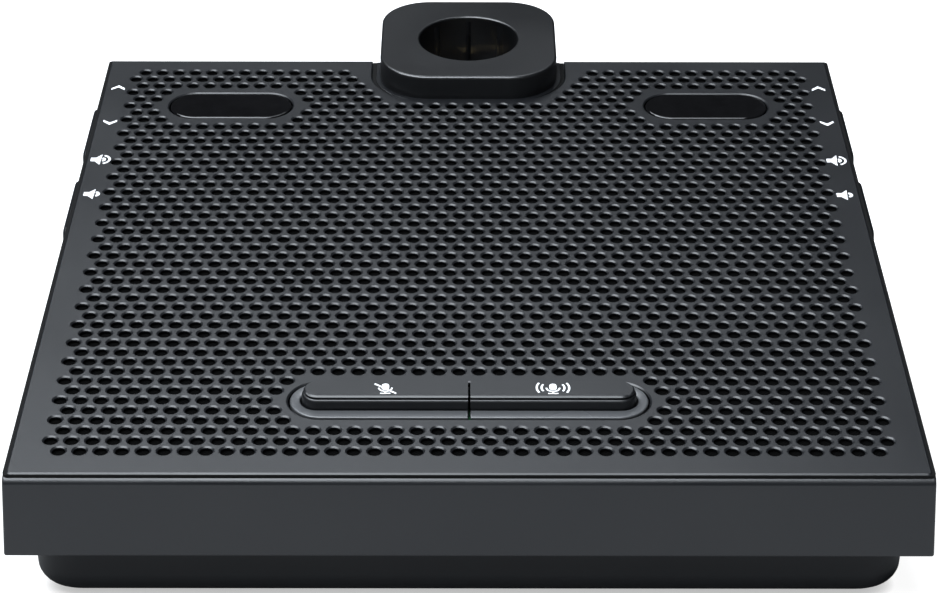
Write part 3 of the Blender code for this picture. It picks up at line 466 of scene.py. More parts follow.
def rounded_outline(corners, steps=14):
    """Points along the outline through these corners (x, y, radius), each rounded by its radius."""
    points = []
    for index, (x, y, radius) in enumerate(corners):
        here = Vector((x, y))
        if not radius:
            points.append(here)
            continue
        back = (Vector(corners[index - 1][:2]) - here).normalized()
        ahead = (Vector(corners[(index + 1) % len(corners)][:2]) - here).normalized()
        half_angle = back.angle(ahead) / 2
        centre = here + (back + ahead).normalized() * (radius / math.sin(half_angle))
        start = here + back * (radius / math.tan(half_angle)) - centre
        end = here + ahead * (radius / math.tan(half_angle)) - centre
        turn = math.atan2(start.cross(end), start.dot(end))
        for step in range(steps + 1):
            points.append(centre + Matrix.Rotation(turn * step / steps, 2) @ start)
    return [p for i, p in enumerate(points) if (p - points[i - 1]).length > weld]


def rectangle(width, length, middle, radius, steps=10):
    x, y = middle
    corners = ((-1, -1), (1, -1), (1, 1), (-1, 1))
    return rounded_outline([(x + a * width / 2, y + b * length / 2, radius) for a, b in corners], steps)


def slot_shape(length, width, middle=(0, 0), steps=12):
    return rectangle(length, width, middle, min(length, width) / 2, steps)


def circle(radius, middle=(0, 0), sides=48):
    angles = [2 * math.pi * side / sides for side in range(sides)]
    return [Vector((middle[0] + radius * math.cos(a), middle[1] + radius * math.sin(a))) for a in angles]


def take_mesh(*meshes):
    """One shape of all these meshes, which are used up."""
    shape = bmesh.new()
    for mesh in meshes:
        shape.from_mesh(mesh)
        bpy.data.meshes.remove(mesh)
    return shape


def gather(shapes):
    """One shape of several."""
    return take_mesh(*[mesh_of(shape, "part") for shape in shapes])


def evaluated(drawn):
    """An object's shape with its curve drawn out or its modifiers applied."""
    graph = bpy.context.evaluated_depsgraph_get()
    return take_mesh(bpy.data.meshes.new_from_object(drawn.evaluated_get(graph)))


def move(shape, matrix):
    bmesh.ops.transform(shape, matrix=matrix, verts=shape.verts)
    return shape


def round_edges(shape, edges, radius, steps, **limits):
    bmesh.ops.bevel(shape, geom=list(edges), offset=radius, affect="EDGES", segments=steps, profile=0.5,
                    material=-1, **limits)


def plate_of(outlines, low, high, edge=0.0, edge_steps=1):
    """The outlines, the later ones as holes, filled and drawn out from low to high with softened edges.

    They are drawn larger, because a filled curve joins points that are very close.
    """
    larger = 1000.0
    curve = bpy.data.curves.new("outline", "CURVE")
    curve.dimensions = "2D"
    curve.fill_mode = "BOTH"
    curve.extrude = ((high - low) / 2 - edge) * larger
    curve.bevel_depth = edge * larger
    curve.offset = -edge * larger
    curve.bevel_resolution = edge_steps - 1
    for outline in outlines:
        spline = curve.splines.new("POLY")
        spline.points.add(len(outline) - 1)
        for point, place in zip(spline.points, outline):
            point.co = (place[0] * larger, place[1] * larger, 0.0, 1.0)
        spline.use_cyclic_u = True
    drawn = put_in_scene("outline", curve)
    shape = evaluated(drawn)
    bpy.data.objects.remove(drawn, do_unlink=True)
    bpy.data.curves.remove(curve)
    bmesh.ops.remove_doubles(shape, verts=shape.verts, dist=weld * larger)
    move(shape, Matrix.Scale(1 / larger, 4))
    return move(shape, Matrix.Translation((0, 0, (low + high) / 2)))


def stand_on_side(shape):
    """Turns a shape drawn in X and Y so that it is drawn in Y and Z, with its depth along X."""
    return move(shape, Matrix(((0, 0, 1, 0), (1, 0, 0, 0), (0, 1, 0, 0), (0, 0, 0, 1))))


def draw_loop(shape, outline, level):
    verts = [shape.verts.new((point[0], point[1], level)) for point in outline]
    return [shape.edges.new(pair) for pair in zip(verts, verts[1:] + verts[:1])]


def skin(loops):
    """A skin over loops (outline, level), each bridged to the next, with its two ends filled."""
    shape = bmesh.new()
    drawn = [draw_loop(shape, outline, level) for outline, level in loops]
    for first, second in zip(drawn, drawn[1:]):
        bmesh.ops.bridge_loops(shape, edges=[*first, *second])
    bmesh.ops.edgeloop_fill(shape, edges=drawn[0])
    bmesh.ops.edgeloop_fill(shape, edges=drawn[-1])
    return shape


def slot_skin(length, width, middle, steps, profile):
    """A skin over slot shapes, each drawn in by its inset at its level."""
    return skin([(slot_shape(length - 2 * inset, width - 2 * inset, middle, steps), level)
                 for inset, level in profile])


def rounding(radius, steps):
    """Steps of a rounded top edge: how far in from the side, and how far below the top."""
    angles = [math.pi / 2 * step / steps for step in range(steps + 1)]
    return [(radius * (1 - math.cos(a)), radius * (1 - math.sin(a))) for a in angles]


def turn_profile(profile, sides, place=(0, 0, 0), closed=False):
    """A turned shape: the profile (radius, height) spun round the upright axis at its place."""
    shape = bmesh.new()
    verts = [shape.verts.new((radius, 0, height)) for radius, height in profile]
    edges = [shape.edges.new(pair) for pair in zip(verts, verts[1:])]
    if closed:
        edges.append(shape.edges.new((verts[-1], verts[0])))
    bmesh.ops.spin(shape, geom=[*verts, *edges], axis=(0, 0, 1), cent=(0, 0, 0), steps=sides,
                   angle=2 * math.pi, use_merge=True)
    bmesh.ops.remove_doubles(shape, verts=shape.verts, dist=5 * weld)
    return move(shape, Matrix.Translation(place))


def block(size, middle, edge=0.0):
    shape = bmesh.new()
    bmesh.ops.create_cube(shape, size=1.0, matrix=Matrix.Translation(middle) @ Matrix.Diagonal((*size, 1.0)))
    if edge:
        round_edges(shape, shape.edges, edge, 3)
    return shape


def rod(radius, start, end, sides=24):
    start, end = Vector(start), Vector(end)
    along = end - start
    turn = along.to_track_quat("Z", "Y").to_matrix().to_4x4()
    shape = bmesh.new()
    bmesh.ops.create_cone(shape, cap_ends=True, segments=sides, radius1=radius, radius2=radius,
                          depth=along.length, matrix=Matrix.Translation((start + end) / 2) @ turn)
    return shape


def mesh_of(shape, name, place=table):
    mesh = bpy.data.meshes.new(name)
    bmesh.ops.recalc_face_normals(shape, faces=shape.faces)
    shape.to_mesh(mesh)
    shape.free()
    mesh.transform(place)
    return mesh


def cuts(*shapes):
    return [("DIFFERENCE", shape) for shape in shapes]


def joins(*shapes):
    return [("UNION", shape) for shape in shapes]


def carve(shape, *tools):
    """The shape with each tool (kind, shape) cut from it or joined to it."""
    body = put_in_scene("body", mesh_of(shape, "body"))
    helpers = [body]
    for kind, tool in tools:
        helper = put_in_scene("tool", mesh_of(tool, "tool"))
        helpers.append(helper)
        change = body.modifiers.new(kind, "BOOLEAN")
        change.object = helper
        change.operation = kind
    carved = evaluated(body)
    for helper in helpers:
        mesh = helper.data
        bpy.data.objects.remove(helper, do_unlink=True)
        bpy.data.meshes.remove(mesh)
    bmesh.ops.remove_doubles(carved, verts=carved.verts, dist=weld)
    return carved


def make_piece(name, shape, finish, place=deck, body="housing", smooth_deg=32, replaces=()):
    """A finished piece: smooth between its crisp edges, riding on its body."""
    mesh = mesh_of(shape, name, place)
    mesh.materials.append(finish)
    mesh.shade_smooth()
    mesh.set_sharp_from_angle(angle=math.radians(smooth_deg))
    piece = put_in_scene(name, mesh)
    even = piece.modifiers.new("even_shading", "WEIGHTED_NORMAL")
    even.keep_sharp = True
    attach(piece, body)
    if replaces:
        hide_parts(*replaces)
    return piece


# Perforated plate


def hole_places():
    """The hole centres. Rows step by half a pitch, and leave room for the keys, windows and collar."""
    beside_keys = {3: 9, 4: 9.5, 5: 10, 6: 9.5, 7: 9}
    window_row = {39: (11, 17), 40: (10.5, 17.5), 41: (10, 18), 42: (10.5, 17.5), 43: (11, 17)}
    beside_collar = {42: 5.5, 43: 6, 44: 6.5, 45: 7, 46: 7.5}
    places = []
    for row in range(hole_rows):
        shift = 0.5 if row % 2 == 0 else 0.0
        for column in range(-hole_columns, hole_columns + 1):
            across = column + shift
            reach = abs(across)
            low, high = window_row.get(row, (1, 0))
            if reach > hole_columns or low <= reach <= high:
                continue
            if reach < beside_keys.get(row, 0) or reach < beside_collar.get(row, 0):
                continue
            places.append((across * hole_pitch, first_row + row * row_step))
    return places


def plate_outline():
    """The plate's edge, with the notch for the collar."""
    side = plate_width / 2 - plate_seam
    notch_side = collar_width / 2 + notch_gap_side
    notch_front = collar_front - notch_gap_front
    notch_round = collar_round + notch_gap_front
    return rounded_outline(both_sides([
        (side, 0, plate_corner), (side, plate_length, plate_corner), (notch_side, plate_length, 0),
        (notch_side, notch_front, notch_round)]))


def deck_cutouts():
    """The openings for the keys and the two windows."""
    windows = [slot_shape(*window_opening, (x, window_place)) for x in (-window_x, window_x)]
    return [slot_shape(*key_opening, (0, key_place)), *windows]


def make_plate():
    """The plate, punched from above: its edge and the rims of its holes and openings slope down."""
    holes = [circle(hole_radius, place, hole_sides) for place in hole_places()]
    shape = plate_of([plate_outline(), *deck_cutouts(), *holes], -rim_depth, -rim_depth)
    face = shape.faces[:]
    edge_of_face = [edge for edge in shape.edges if edge.is_boundary]
    underside = bmesh.ops.duplicate(shape, geom=[*shape.verts, *shape.edges, *face])
    wall = bmesh.ops.extrude_edge_only(shape, edges=edge_of_face)
    lower = [part for part in underside["geom"] + wall["geom"] if isinstance(part, bmesh.types.BMVert)]
    bmesh.ops.translate(shape, verts=lower, vec=(0, 0, rim_depth - plate_thickness))
    bmesh.ops.remove_doubles(shape, verts=shape.verts, dist=weld)
    bmesh.ops.recalc_face_normals(shape, faces=shape.faces)
    bmesh.ops.inset_region(shape, faces=face, thickness=rim_width, use_boundary=True)
    bmesh.ops.translate(shape, verts=list({vert for part in face for vert in part.verts}),
                        vec=(0, 0, rim_depth))
    bmesh.ops.delete(shape, geom=face, context="FACES")
    bmesh.ops.triangle_fill(shape, edges=[edge for edge in shape.edges if edge.is_boundary],
                            use_beauty=True, normal=(0, 0, 1))
    make_piece("perforated_plate", shape, plate_finish, smooth_deg=25,
               replaces=["grille_plate"])


def make_painted_edge_shade():
    """A thin black strip round the plate, between its edge and the housing's rim: painted shade in the seam.
    """
    bottom, top, edge = rim_level - 0.0002, -0.00022, 0.00006
    front, rear, side = -0.00012, strips_rear, half_width - 0.00008
    near, far, x = 0.0002, plate_length - 0.0002, plate_width / 2 - 0.0003
    inner_corner = 0.0006
    notch = collar_width / 2 + 0.0018
    outline = rounded_outline(both_sides([
        (side, front, plate_corner), (side, rear, plate_corner), (notch, rear, 0), (notch, far, 0),
        (x, far, inner_corner), (x, near, inner_corner)]), 6)
    make_piece("painted_edge_shade", plate_of([outline], bottom, top, edge, 2), painted_shade_finish)


# Housing


def fascia_line(level):
    """The fascia's front face, as a place along the deck, at a level below the deck."""
    return fascia_front + (level - fascia_top) * math.tan(fascia_angle)


def screw_places():
    side = tray_half_width - foot_inset
    ends = (tray_front + screw_inset, tray_rear - screw_inset)
    return [(x * side, y) for x in left_right.values() for y in ends]


def make_housing():
    """The slab's housing: fascia, sides, rear wall, and the shelf that carries the deck's pieces."""
    outer = [(fascia_line(rim_level), rim_level), (fascia_line(slab_bottom), slab_bottom),
             (rear_face, slab_bottom), (rear_face, rim_level)]
    shape = stand_on_side(plate_of([outer], -half_width, half_width))
    bmesh.ops.dissolve_limit(shape, angle_limit=flat_angle, verts=shape.verts, edges=shape.edges)
    front_top = [e for e in shape.edges
                 if all(v.co.z > rim_level - weld and v.co.y < lip_round for v in e.verts)]
    round_edges(shape, front_top, lip_round, 6, clamp_overlap=True)
    sharp = [e for e in shape.edges if len(e.link_faces) == 2 and e.calc_face_angle() > sharp_angle]
    round_edges(shape, sharp, edge_round, 4, clamp_overlap=True)

    below, rear = slab_bottom - cut_overrun, rear_face - housing_wall
    inner = [(fascia_line(shelf_bottom) + fascia_wall, shelf_bottom),
             (fascia_line(below) + fascia_wall, below), (rear, below), (rear, shelf_bottom)]
    recess = rectangle(plate_width - 2 * recess_margin, plate_length - 2 * recess_margin,
                       (0, plate_length / 2), plate_corner)
    tools = cuts(stand_on_side(plate_of([inner], -wall_inside, wall_inside)),
                 plate_of([recess], shelf_top, cut_overrun))
    openings = [*deck_cutouts(), circle(speaker_opening_radius, (0, speaker_place))]
    tools += cuts(*[plate_of([outline], shelf_bottom - cut_overrun, cut_overrun / 2) for outline in openings])
    side = collar_width / 2 + gap
    notch = rounded_outline(both_sides([(side, collar_front - gap, collar_round),
                                        (side, rear_face + cut_overrun, 0)]))
    tools += cuts(plate_of([notch], below, cut_overrun))
    inside, outside = wall_inside - cut_overrun, half_width + cut_overrun
    rocker_opening = (rocker_length + 2 * rocker_gap, rocker_height + 2 * rocker_gap)
    for x in left_right.values():
        for place in rocker_places.values():
            outline = slot_shape(*rocker_opening, (place, rocker_level))
            tools += cuts(stand_on_side(plate_of([outline], *sorted((x * inside, x * outside)))))
        tools += cuts(rod(jack_collar_radius + gap, (x * inside, jack_place, rocker_level),
                          (x * outside, jack_place, rocker_level), 40))

    tools += joins(gather(rod(key_post_radius, (x, y, key_post_bottom), (x, y, shelf_bottom + overlap))
                          for x in (-key_post_x, key_post_x)
                          for y in (key_place - key_post_y, key_place + key_post_y)))
    up = Vector((0, math.sin(deck_slope), math.cos(deck_slope)))
    shelf_middle = (shelf_top + shelf_bottom) / 2
    posts, bores = [], []
    for x, y in screw_places():
        below, foot, bore_top = [deck.inverted() @ Vector((x, y, height))
                                 for height in (screw_boss_bottom, screw_post_bottom, screw_bore_top)]
        posts.append(rod(screw_post_radius, foot, foot + up * ((shelf_middle - foot.z) / up.z)))
        bores.append(rod(screw_bore_radius, below, bore_top))
    tools += joins(gather(posts)) + cuts(gather(bores))
    make_piece("slab_housing", carve(shape, *tools), housing_finish,
               replaces=["upper_housing"])


# Tray


def tray_shell(inset, bottom, roll, steps):
    """A block with round upright corners and a rolled lower edge."""
    shape = block(
        (2 * (tray_half_width - inset), tray_rear - tray_front - 2 * inset, tray_uncut_height),
        (0, (tray_front + tray_rear) / 2, bottom + tray_uncut_height / 2),
    )
    upright = [e for e in shape.edges if abs(e.verts[0].co.z - e.verts[1].co.z) > weld]
    round_edges(shape, upright, tray_corner - inset, 10)
    low = min(vert.co.z for vert in shape.verts)
    lower = [e for e in shape.edges if all(abs(vert.co.z - low) < 10 * weld for vert in e.verts)]
    round_edges(shape, lower, roll, steps)
    return shape


def make_tray():
    """The set-in tray under the slab, with its flange, wells for the screws and rests for the feet."""
    shape = tray_shell(0, tray_bottom, tray_roll, 8)
    top = deck @ Vector((0, 0, (slab_bottom + flange_top) / 2))
    normal = Vector((0, -math.sin(deck_slope), math.cos(deck_slope)))
    bmesh.ops.bisect_plane(shape, geom=[*shape.verts, *shape.edges, *shape.faces], plane_co=top,
                           plane_no=normal, clear_outer=True)
    bmesh.ops.edgeloop_fill(shape, edges=[e for e in shape.edges if e.is_boundary])

    side, tongue = wall_inside - gap, collar_width / 2
    front, rear = fascia_line(flange_top) + fascia_wall + gap, rear_face - housing_wall - gap
    outline = both_sides([(side, front, 0), (side, rear, 0), (tongue, rear, 0),
                          (tongue, collar_rear, collar_round)])
    flange = plate_of([rounded_outline(outline)], slab_bottom, flange_top)
    tools = joins(move(flange, deck)) + cuts(tray_shell(tray_wall, tray_floor, tray_roll - tray_wall, 4))
    bosses, wells = [], []
    for x, y in screw_places():
        bosses.append(rod(screw_boss_radius, (x, y, screw_boss_bottom), (x, y, screw_boss_top)))
        wells.append(rod(screw_head_radius + gap, (x, y, well_bottom), (x, y, screw_well_top), 32))
        wells.append(rod(screw_bore_radius, (x, y, screw_hole[0]), (x, y, screw_hole[1])))
    for x, y in foot_places().values():
        wells.append(rod(foot_radius + gap, (x, y, well_bottom), (x, y, foot_well_top), 48))
    opening = (socket_size[0] + 2 * gap, 4 * tray_wall, socket_size[2] + 2 * gap)
    openings = [block(opening, (x, tray_rear - tray_wall / 2, socket_bottom + opening[2] / 2))
                for x in socket_places.values()]
    tools += joins(gather(bosses)) + cuts(gather(wells), *openings)
    make_piece("wedge_tray", carve(shape, *tools), tray_finish, place=table,
               replaces=["base_tray"])


def foot_places():
    side = tray_half_width - foot_inset
    ends = {"front": tray_front + foot_inset, "rear": tray_rear - foot_inset}
    return {f"{name}_{end}": (x * side, y) for end, y in ends.items() for name, x in left_right.items()}


def make_feet():
    """Rubber feet with a rounded tread and a shallow ring groove."""
    profile = [(0, 0.0001), (0.0028, 0.0001), (0.0030, 0.0004), (0.0034, 0.0004), (0.0036, 0),
               (0.0052, 0), (0.0057, 0.00015), (foot_radius, 0.0006), (foot_radius, 0.0015), (0, 0.0015)]
    for name, (x, y) in foot_places().items():
        shape = turn_profile(profile, 48, (x, y, 0))
        make_piece(f"foot_{name}", shape, rubber_finish, place=table,
                   replaces=[f"rubber_foot_{name}"])


def make_screws():
    """Pan-head screws with a cross recess, in the tray's wells."""
    profile = [(0, 0.0125), (0.0009, 0.0119), (0.0013, 0.0112), (0.0013, screw_head_top),
               (screw_head_radius, screw_head_top), (screw_head_radius, 0.0029), (0.0022, 0.0026),
               (0.0015, screw_head_bottom), (0, screw_head_bottom)]
    for number, (x, y) in enumerate(screw_places(), 1):
        cross = [block((width, length, 0.0016), (x, y, screw_head_bottom))
                 for width, length in ((0.0022, 0.0005), (0.0005, 0.0022))]
        shape = carve(turn_profile(profile, 32, (x, y, 0)), *cuts(*cross))
        make_piece(f"cross_screw_{number}", shape, steel_finish, place=table,
                   replaces=[f"housing_screw_{number}"])


# Microphone collar


def bore_outline(grow, ribbed=False):
    """The bore, drawn larger by a margin, with thin ribs that stand into it."""
    outline = []
    for point in circle(bore_radius + grow, sides=120):
        angle = math.degrees(math.atan2(point.y, point.x))
        rib = ribbed and min(abs(angle - place) for place in rib_places_deg) < rib_half_width_deg
        outline.append(point * (1 - rib_height / bore_radius if rib else 1) + Vector((0, collar_middle)))
    return outline


def make_collar():
    low = flange_top + gap
    outline = rectangle(collar_width, collar_length, (0, collar_middle), collar_round, 18)
    shape = plate_of([outline], low, collar_height, collar_edge, 5)
    loops = [(bore_outline(0, True), low - cut_overrun / 2),
             (bore_outline(0, True), collar_height - rib_foot), (bore_outline(0), collar_height - rib_top)]
    loops += [(bore_outline(outward), collar_height - down) for outward, down in rounding(edge_round, 5)]
    loops.append((bore_outline(edge_round), collar_height + cut_overrun / 2))
    shape = carve(shape, *cuts(skin(loops)))
    make_piece("collar", shape, collar_finish, smooth_deg=8, replaces=["socket_collar"])


def collar_foot(outward):
    """The outline round the collar's foot, open to the rear, drawn outwards from its wall."""
    side, front, corner = collar_width / 2 + outward, collar_front - outward, collar_round + outward
    return rounded_outline([(-side, strips_rear, 0), (-side, front, corner), (side, front, corner),
                            (side, strips_rear, 0)])


def make_collar_foot():
    """A low lip round the collar's foot, and a black strip between it and the plate: painted shade in the
    gap.
    """
    for name, inner, outer, top, finish in (("collar_lip", -0.0001, 0.0009, -0.00042, housing_finish),
                                            ("painted_notch_shade", 0.0008, 0.0017, -0.00052, painted_shade_finish)):
        outline = [*collar_foot(outer), *reversed(collar_foot(inner))]
        make_piece(name, plate_of([outline], collar_foot_bottom, top, 0.00012, 2), finish)


def make_connector():
    """The contact block at the bottom of the bore."""
    low = flange_top + gap
    top = low + contact_block_height
    profile = [(0, low), (0.0093, low), (0.0093, top - 0.0004), (0.0089, top), (0.0052, top),
               (0.0050, top - 0.0008), (0.0042, top - 0.0008), (0.0040, top + 0.0014), (0.0036, top + 0.0018),
               (0.0012, top + 0.0018), (0.0010, top + 0.0006), (0, top + 0.0006)]
    shape = turn_profile(profile, 48, (0, collar_middle, 0))
    make_piece("contact_block", shape, component_finish, replaces=["mic_connector"])
    profile = [(0.0007, top - 0.0004), (0.0007, top + 0.0020), (0.0005, top + 0.0024), (0, top + 0.0026)]
    pins = gather(turn_profile(profile, 16, (place.x, collar_middle + place.y, 0))
                  for place in circle(contact_circle, sides=8))
    bmesh.ops.holes_fill(pins, edges=pins.edges)
    make_piece("contact_pins", pins, gold_finish)


# Keys, their symbols and the light rings


def key_outline(half_length, width, side, round_steps=12, back=0.0):
    """Half of a slot shape: flat at the split in the middle and round at its outer end."""
    radius = width / 2
    points = rounded_outline([(key_split, -radius, 0), (half_length, -radius, radius),
                              (half_length, radius, radius), (key_split, radius, 0)], round_steps)
    if side < 0:
        points = [Vector((-point.x, point.y)) for point in reversed(points)]
    return [point + Vector((0, key_place + back)) for point in points]


def make_keys():
    """Two key caps: a foot with a round shoulder, a groove, and a flat cap with a sloped front edge."""
    profile = [(0, -0.0030), (0, 0.0001)]
    profile += [(0.00003 + inward, 0.00168 - down) for inward, down in rounding(0.00040, 4)]
    profile += [(0.00052, 0.00160), (0.00052, 0.00180), (0.00034, 0.00186), (0.00034, key_height - 0.00021)]
    slope = 0.00028
    for name, side in key_sides.items():
        loops = [(key_outline(key_half_length - inset, key_foot_width - 2 * inset, side), level)
                 for inset, level in profile]
        inset = profile[-1][0]
        loops.append((key_outline(key_half_length - inset - slope, key_foot_width - 2 * inset - slope, side,
                                  back=slope / 2), key_height))
        make_piece(f"{name}_key_cap", skin(loops), key_finish, body=f"{name}_key",
                   replaces=[f"{name}_key"])
        symbol = microphone_outlines((side * key_half_length / 2, key_place), crossed=name == "mute")
        make_print(f"{name}_symbol", symbol, key_height, body=f"{name}_key")


def bar(start, end, width):
    """A straight stroke with round ends, as an outline."""
    start, end = Vector(start), Vector(end)
    along = end - start
    turn = Matrix.Rotation(math.atan2(along.y, along.x), 2)
    return [start + along / 2 + turn @ p for p in slot_shape(along.length + width, width, steps=6)]


def arc(middle, radius, width, start_deg, end_deg, steps=14):
    """A round stroke, as an outline."""
    angles = [math.radians(start_deg + (end_deg - start_deg) * step / steps) for step in range(steps + 1)]
    rays = [Vector((math.cos(a), math.sin(a))) for a in angles]
    outer = [Vector(middle) + (radius + width / 2) * ray for ray in rays]
    return outer + [Vector(middle) + (radius - width / 2) * ray for ray in reversed(rays)]


def microphone_outlines(middle, crossed):
    """A microphone with sound waves on both sides, or with a stroke across it in their place."""
    x, y = middle
    strokes = [
        slot_shape(0.0012, 0.0019, (x, y + 0.00055)),
        arc((x, y + 0.0003), 0.00110, 0.00030, 180, 360),
        bar((x, y - 0.00105), (x, y - 0.00130), 0.00030),
        bar((x - 0.00075, y - 0.00140), (x + 0.00075, y - 0.00140), 0.00026),
    ]
    if crossed:
        return [*strokes, bar((x - 0.0017, y + 0.00135), (x + 0.0017, y - 0.00135), 0.00036)]
    return strokes + [arc((x, y + 0.0003), radius, 0.00034, turn - 32, turn + 32)
                      for radius in (0.0019, 0.0027) for turn in (0, 180)]


def make_print(name, outlines, level, body="housing"):
    """A thin white print on a surface at this level."""
    printed = gather(plate_of([outline], level - print_depth, level + print_height) for outline in outlines)
    make_piece(name, printed, print_finish, body=body)


def make_rings():
    """The two halves of the frosted light guide round the keys."""
    for name, side in key_sides.items():
        outer = key_outline(key_opening[0] / 2 - ring_gap, key_opening[1] - 2 * ring_gap, side, 16)
        inner = key_outline(key_half_length + gap, key_foot_width + 2 * gap, side, 16)
        shape = plate_of([[*outer, *reversed(inner)]], ring_bottom, ring_top, ring_edge, 3)
        make_piece(f"{name}_ring", shape, ring_finish, replaces=[f"{name}_light_ring"])


# Windows


def make_windows():
    """Smoked lenses, level with the plate, with a rounded and polished edge."""
    length, width = window_opening[0] - 2 * gap, window_opening[1] - 2 * gap
    profile = [(0, shelf_bottom)]
    profile += [(inward, window_level - down) for inward, down in rounding(window_edge, 4)]
    for name, side in left_right.items():
        shape = slot_skin(length, width, (side * window_x, window_place), 16, profile)
        make_piece(f"window_{name}", shape, window_finish,
                   replaces=[f"display_window_{name}"])


# Side rockers


def make_rockers():
    """Slim rocker caps with rounded faces, each on a lug that turns about its pin."""
    inside, level = rocker_inside, rocker_level
    profile = [(0.0001, inside), (0, inside + 0.0002)]
    profile += [(inward, rocker_face - down) for inward, down in rounding(rocker_edge, 5)]
    for rocker, place in rocker_places.items():
        for name, side in left_right.items():
            cap = slot_skin(rocker_length, rocker_height, (place, level), 10, profile)
            lug = block((inside - pivot_x + overlap, 2 * barrel_radius, rocker_height),
                        ((inside + pivot_x + overlap) / 2, place, level))
            barrel, hole = [rod(radius, (pivot_x, place, level - reach), (pivot_x, place, level + reach))
                            for radius, reach in ((barrel_radius, rocker_height / 2),
                                                  (pin_bore_radius, rocker_height))]
            nibs = gather(rod(nib_radius, (inside - nib_length, y, level), (inside + overlap, y, level))
                          for y in (place - nib_spread, place + nib_spread))
            shape = carve(stand_on_side(cap), *joins(nibs, lug, barrel), *cuts(hole))
            move(shape, Matrix.Diagonal((side, 1, 1, 1)))
            make_piece(f"{rocker}_cap_{name}", shape, rocker_finish,
                       body=f"{rocker}_{name}", replaces=[f"{rocker}_{name}"])


def chevron(x, y, rise):
    """An arrowhead stroke that points to the rear, or to the front where the rise is negative."""
    half, thick = 0.00135, 0.00075
    tip = y + rise / 2
    foot = y - rise / 2
    lift = math.copysign(thick, rise)
    return [Vector(p) for p in ((x - half, foot), (x, tip), (x + half, foot), (x + half, foot - lift),
                                (x, tip - lift * 1.25), (x - half, foot - lift))]


def loudspeaker(x, y, loud):
    """A small loudspeaker: block, cone and one or two waves."""
    reach = 0.0021 if loud else 0.0019
    left = x - (0.0019 if loud else 0.0016)
    cone = [Vector(p) for p in ((left, y - 0.0007), (left + 0.0008, y - 0.0007), (left + 0.0019, y - reach),
                                (left + 0.0021, y + reach), (left + 0.0010, y + 0.0007), (left, y + 0.0007))]
    near_wave = arc((left + 0.0021, y), 0.00055 if loud else 0.0007, 0.0006, -75, 75, 8)
    far_wave = [arc((left + 0.0020, y), 0.00165, 0.00045, -72, 72)] if loud else []
    return [cone, *far_wave, near_wave]


def make_side_marks():
    """White printed marks beside the rockers: arrows for the channel and loudspeakers for the volume."""
    for name, side in left_right.items():
        x = side * marks_x
        marks = {
            "channel_up": [chevron(x, 0.1352, chevron_rise)],
            "channel_down": [chevron(x, 0.1193, -chevron_rise)],
            "volume_up": loudspeaker(x, 0.1043, True),
            "volume_down": loudspeaker(x, 0.0907, False),
        }
        for mark, outlines in marks.items():
            make_print(f"mark_{mark}_{name}", outlines, 0.0)


# Sockets


def make_network_sockets():
    """Network sockets with a latch notch, a contact comb and two small lights."""
    face, bottom = tray_rear - gap, socket_bottom + gap
    mouth_depth, mouth_length, mouth_bottom = 0.0130, 0.0150, 0.0022
    steps = ((0.0118, 0.0066, 0.0033), (0.0060, 0.0030, 0.0073), (0.0034, 0.0016, 0.0093))
    for name, x in socket_places.items():
        body = block(socket_size, (x, face - socket_size[1] / 2, bottom + socket_size[2] / 2), 0.0002)
        mouth = [block((width, mouth_length, height),
                       (x, face - mouth_depth + mouth_length / 2, bottom + mouth_bottom + level))
                 for width, height, level in steps]
        shape = carve(body, *cuts(*mouth))
        make_piece(f"socket_body_{name}", shape, component_finish, place=table,
                   replaces=[f"network_jack_{name}"])
        wires = gather(rod(0.00018, (across, face - 0.0128, bottom + 0.0078),
                           (across, face - 0.0035, bottom + 0.0030), 8)
                       for across in [x + (index - 3.5) * 0.00102 for index in range(8)])
        make_piece(f"socket_contacts_{name}", wires, gold_finish, place=table)
        lights = gather(block((0.0022, 0.0006, 0.0014), (x + offset, face, bottom + 0.0118), 0.0002)
                        for offset in (-0.0066, 0.0066))
        make_piece(f"socket_lights_{name}", lights, ring_finish, place=table)


def make_headphone_jacks():
    face, level, collar = half_width - gap, rocker_level, jack_collar_radius
    profile = [(jack_radius, 0), (0.00205, 0.0003), (0.0026, 0.0003), (collar, 0), (collar, -0.0032),
               (jack_radius, -0.0032)]
    outward = Matrix.Translation((face - gap, jack_place, level)) @ Matrix.Rotation(math.pi / 2, 4, "Y")
    for name, side in left_right.items():
        body = block(jack_body, (rocker_inside - jack_body[0] / 2, jack_place, level), 0.0002)
        bore = rod(jack_radius, (face - jack_depth, jack_place, level),
                   (face + cut_overrun, jack_place, level), 40)
        ring = move(turn_profile(profile, 40, closed=True), outward)
        body = carve(body, *cuts(bore), *joins(ring))
        move(body, Matrix.Diagonal((side, 1, 1, 1)))
        make_piece(f"jack_{name}", body, component_finish,
                   replaces=[f"headphone_jack_{name}"])


# Carried-over solids, studio


def finish_inner_solids():
    """A finish for each solid that stays as it is, found by a word in its name."""
    finishes = {
        "cloth": cloth_finish, "board": board_finish, "frame": steel_finish, "surround": rubber_finish,
        "cone": cone_finish, "coil": coil_finish, "magnet": magnet_finish, "pin": steel_finish,
        "plunger": ring_finish,
    }
    for name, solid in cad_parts.items():
        words = [word for word in finishes if word in name.split("_")]
        for place in solid.material_slots:
            place.material = finishes[words[0]] if words else component_finish


lamp_aim = Vector((0, 0, 0.02))


def add_light(name, place, width, length, power):
    """A soft studio lamp of cool daylight, aimed at the object."""
    light = bpy.data.lights.new(name, "AREA")
    light.shape = "RECTANGLE"
    light.size = width
    light.size_y = length
    light.energy = power
    light.color = (0.88, 0.935, 1.0)
    lamp = put_in_scene(name, light)
    lamp.location = place
    lamp.rotation_euler = (lamp_aim - Vector(place)).to_track_quat("-Z", "Y").to_euler()


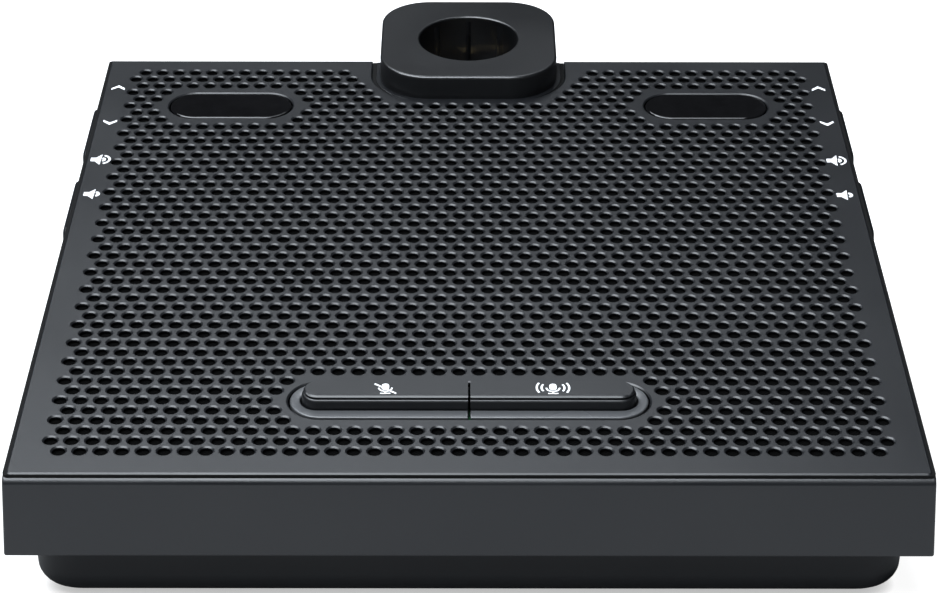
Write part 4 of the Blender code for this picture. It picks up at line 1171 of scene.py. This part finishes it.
def studio_paper():
    """Pale paper with painted shade round the object, darker the more the object closes it in. The camera
    sees it glow, but for a short painted contact shadow.
    """
    finish, tree, shader = new_finish("studio_paper", Roughness=0.9, Specular_IOR_Level=0.0,
                                      Emission_Strength=0.95)
    seen = camera_ray(tree)
    # Painted shade: ambient occlusion darkens the camera's glow into a short contact shadow, and darkens the
    # paper's colour round the object.
    contact = add(tree, "AmbientOcclusion", samples=8, Distance=0.002).outputs["AO"]
    painted_shade_near_object = calc(tree, "POWER", add(tree, "AmbientOcclusion", samples=8, Distance=0.2).outputs["AO"], 3.0)
    fibre = noise(tree, object_place(tree), 900.0)
    pale = blend_colours(tree, fibre, (0.57, 0.57, 0.57, 1), (0.59, 0.59, 0.59, 1))
    shade = blend_colours(tree, fibre, (0.19, 0.19, 0.19, 1), (0.21, 0.21, 0.21, 1))
    glow = times(tree, seen, stretch(tree, contact, 0.0, 1.0, 0.35, 1.0))
    link(tree, (blend_colours(tree, painted_shade_near_object, shade, pale), shader.inputs["Base Color"]),
         (blend_colours(tree, glow, (0, 0, 0, 1), (1, 1, 1, 1)), shader.inputs["Emission Color"]))
    return finish


def set_studio():
    floor_shape = bmesh.new()
    bmesh.ops.create_grid(floor_shape, x_segments=8, y_segments=8, size=6.0)
    mesh = mesh_of(floor_shape, "studio_floor")
    mesh.materials.append(studio_paper())
    floor = put_in_scene("studio_floor", mesh)

    world = bpy.data.worlds.new("studio")
    bpy.context.scene.world = world
    world.use_nodes = True
    tree = world.node_tree
    room = tree.nodes["Background"]
    room.inputs["Color"].default_value = (0.93, 0.96, 1.0, 1)
    room.inputs["Strength"].default_value = 0.02
    paper = add(tree, "Background", Color=(1, 1, 1, 1), Strength=1.0)
    seen = camera_ray(tree)
    mixed = add(tree, "MixShader", in_0=seen, in_1=room.outputs[0], in_2=paper.outputs[0])
    tree.links.new(mixed.outputs[0], tree.nodes["World Output"].inputs["Surface"])
    add_light("key_light", (-0.35, -0.45, 1.05), 1.3, 0.7, 34.0)
    add_light("sheen_light", (-0.35, 0.4, 1.05), 0.4, 0.4, 4.2)
    add_light("rear_light", (0, 0.5, 1.05), 0.4, 0.4, 2.6)
    bpy.context.scene.view_settings.view_transform = "Standard"


set_camera()
make_plate()
make_painted_edge_shade()
make_housing()
make_tray()
make_feet()
make_screws()
make_collar()
make_collar_foot()
make_connector()
make_keys()
make_rings()
make_windows()
make_rockers()
make_side_marks()
make_network_sockets()
make_headphone_jacks()
finish_inner_solids()
set_studio()
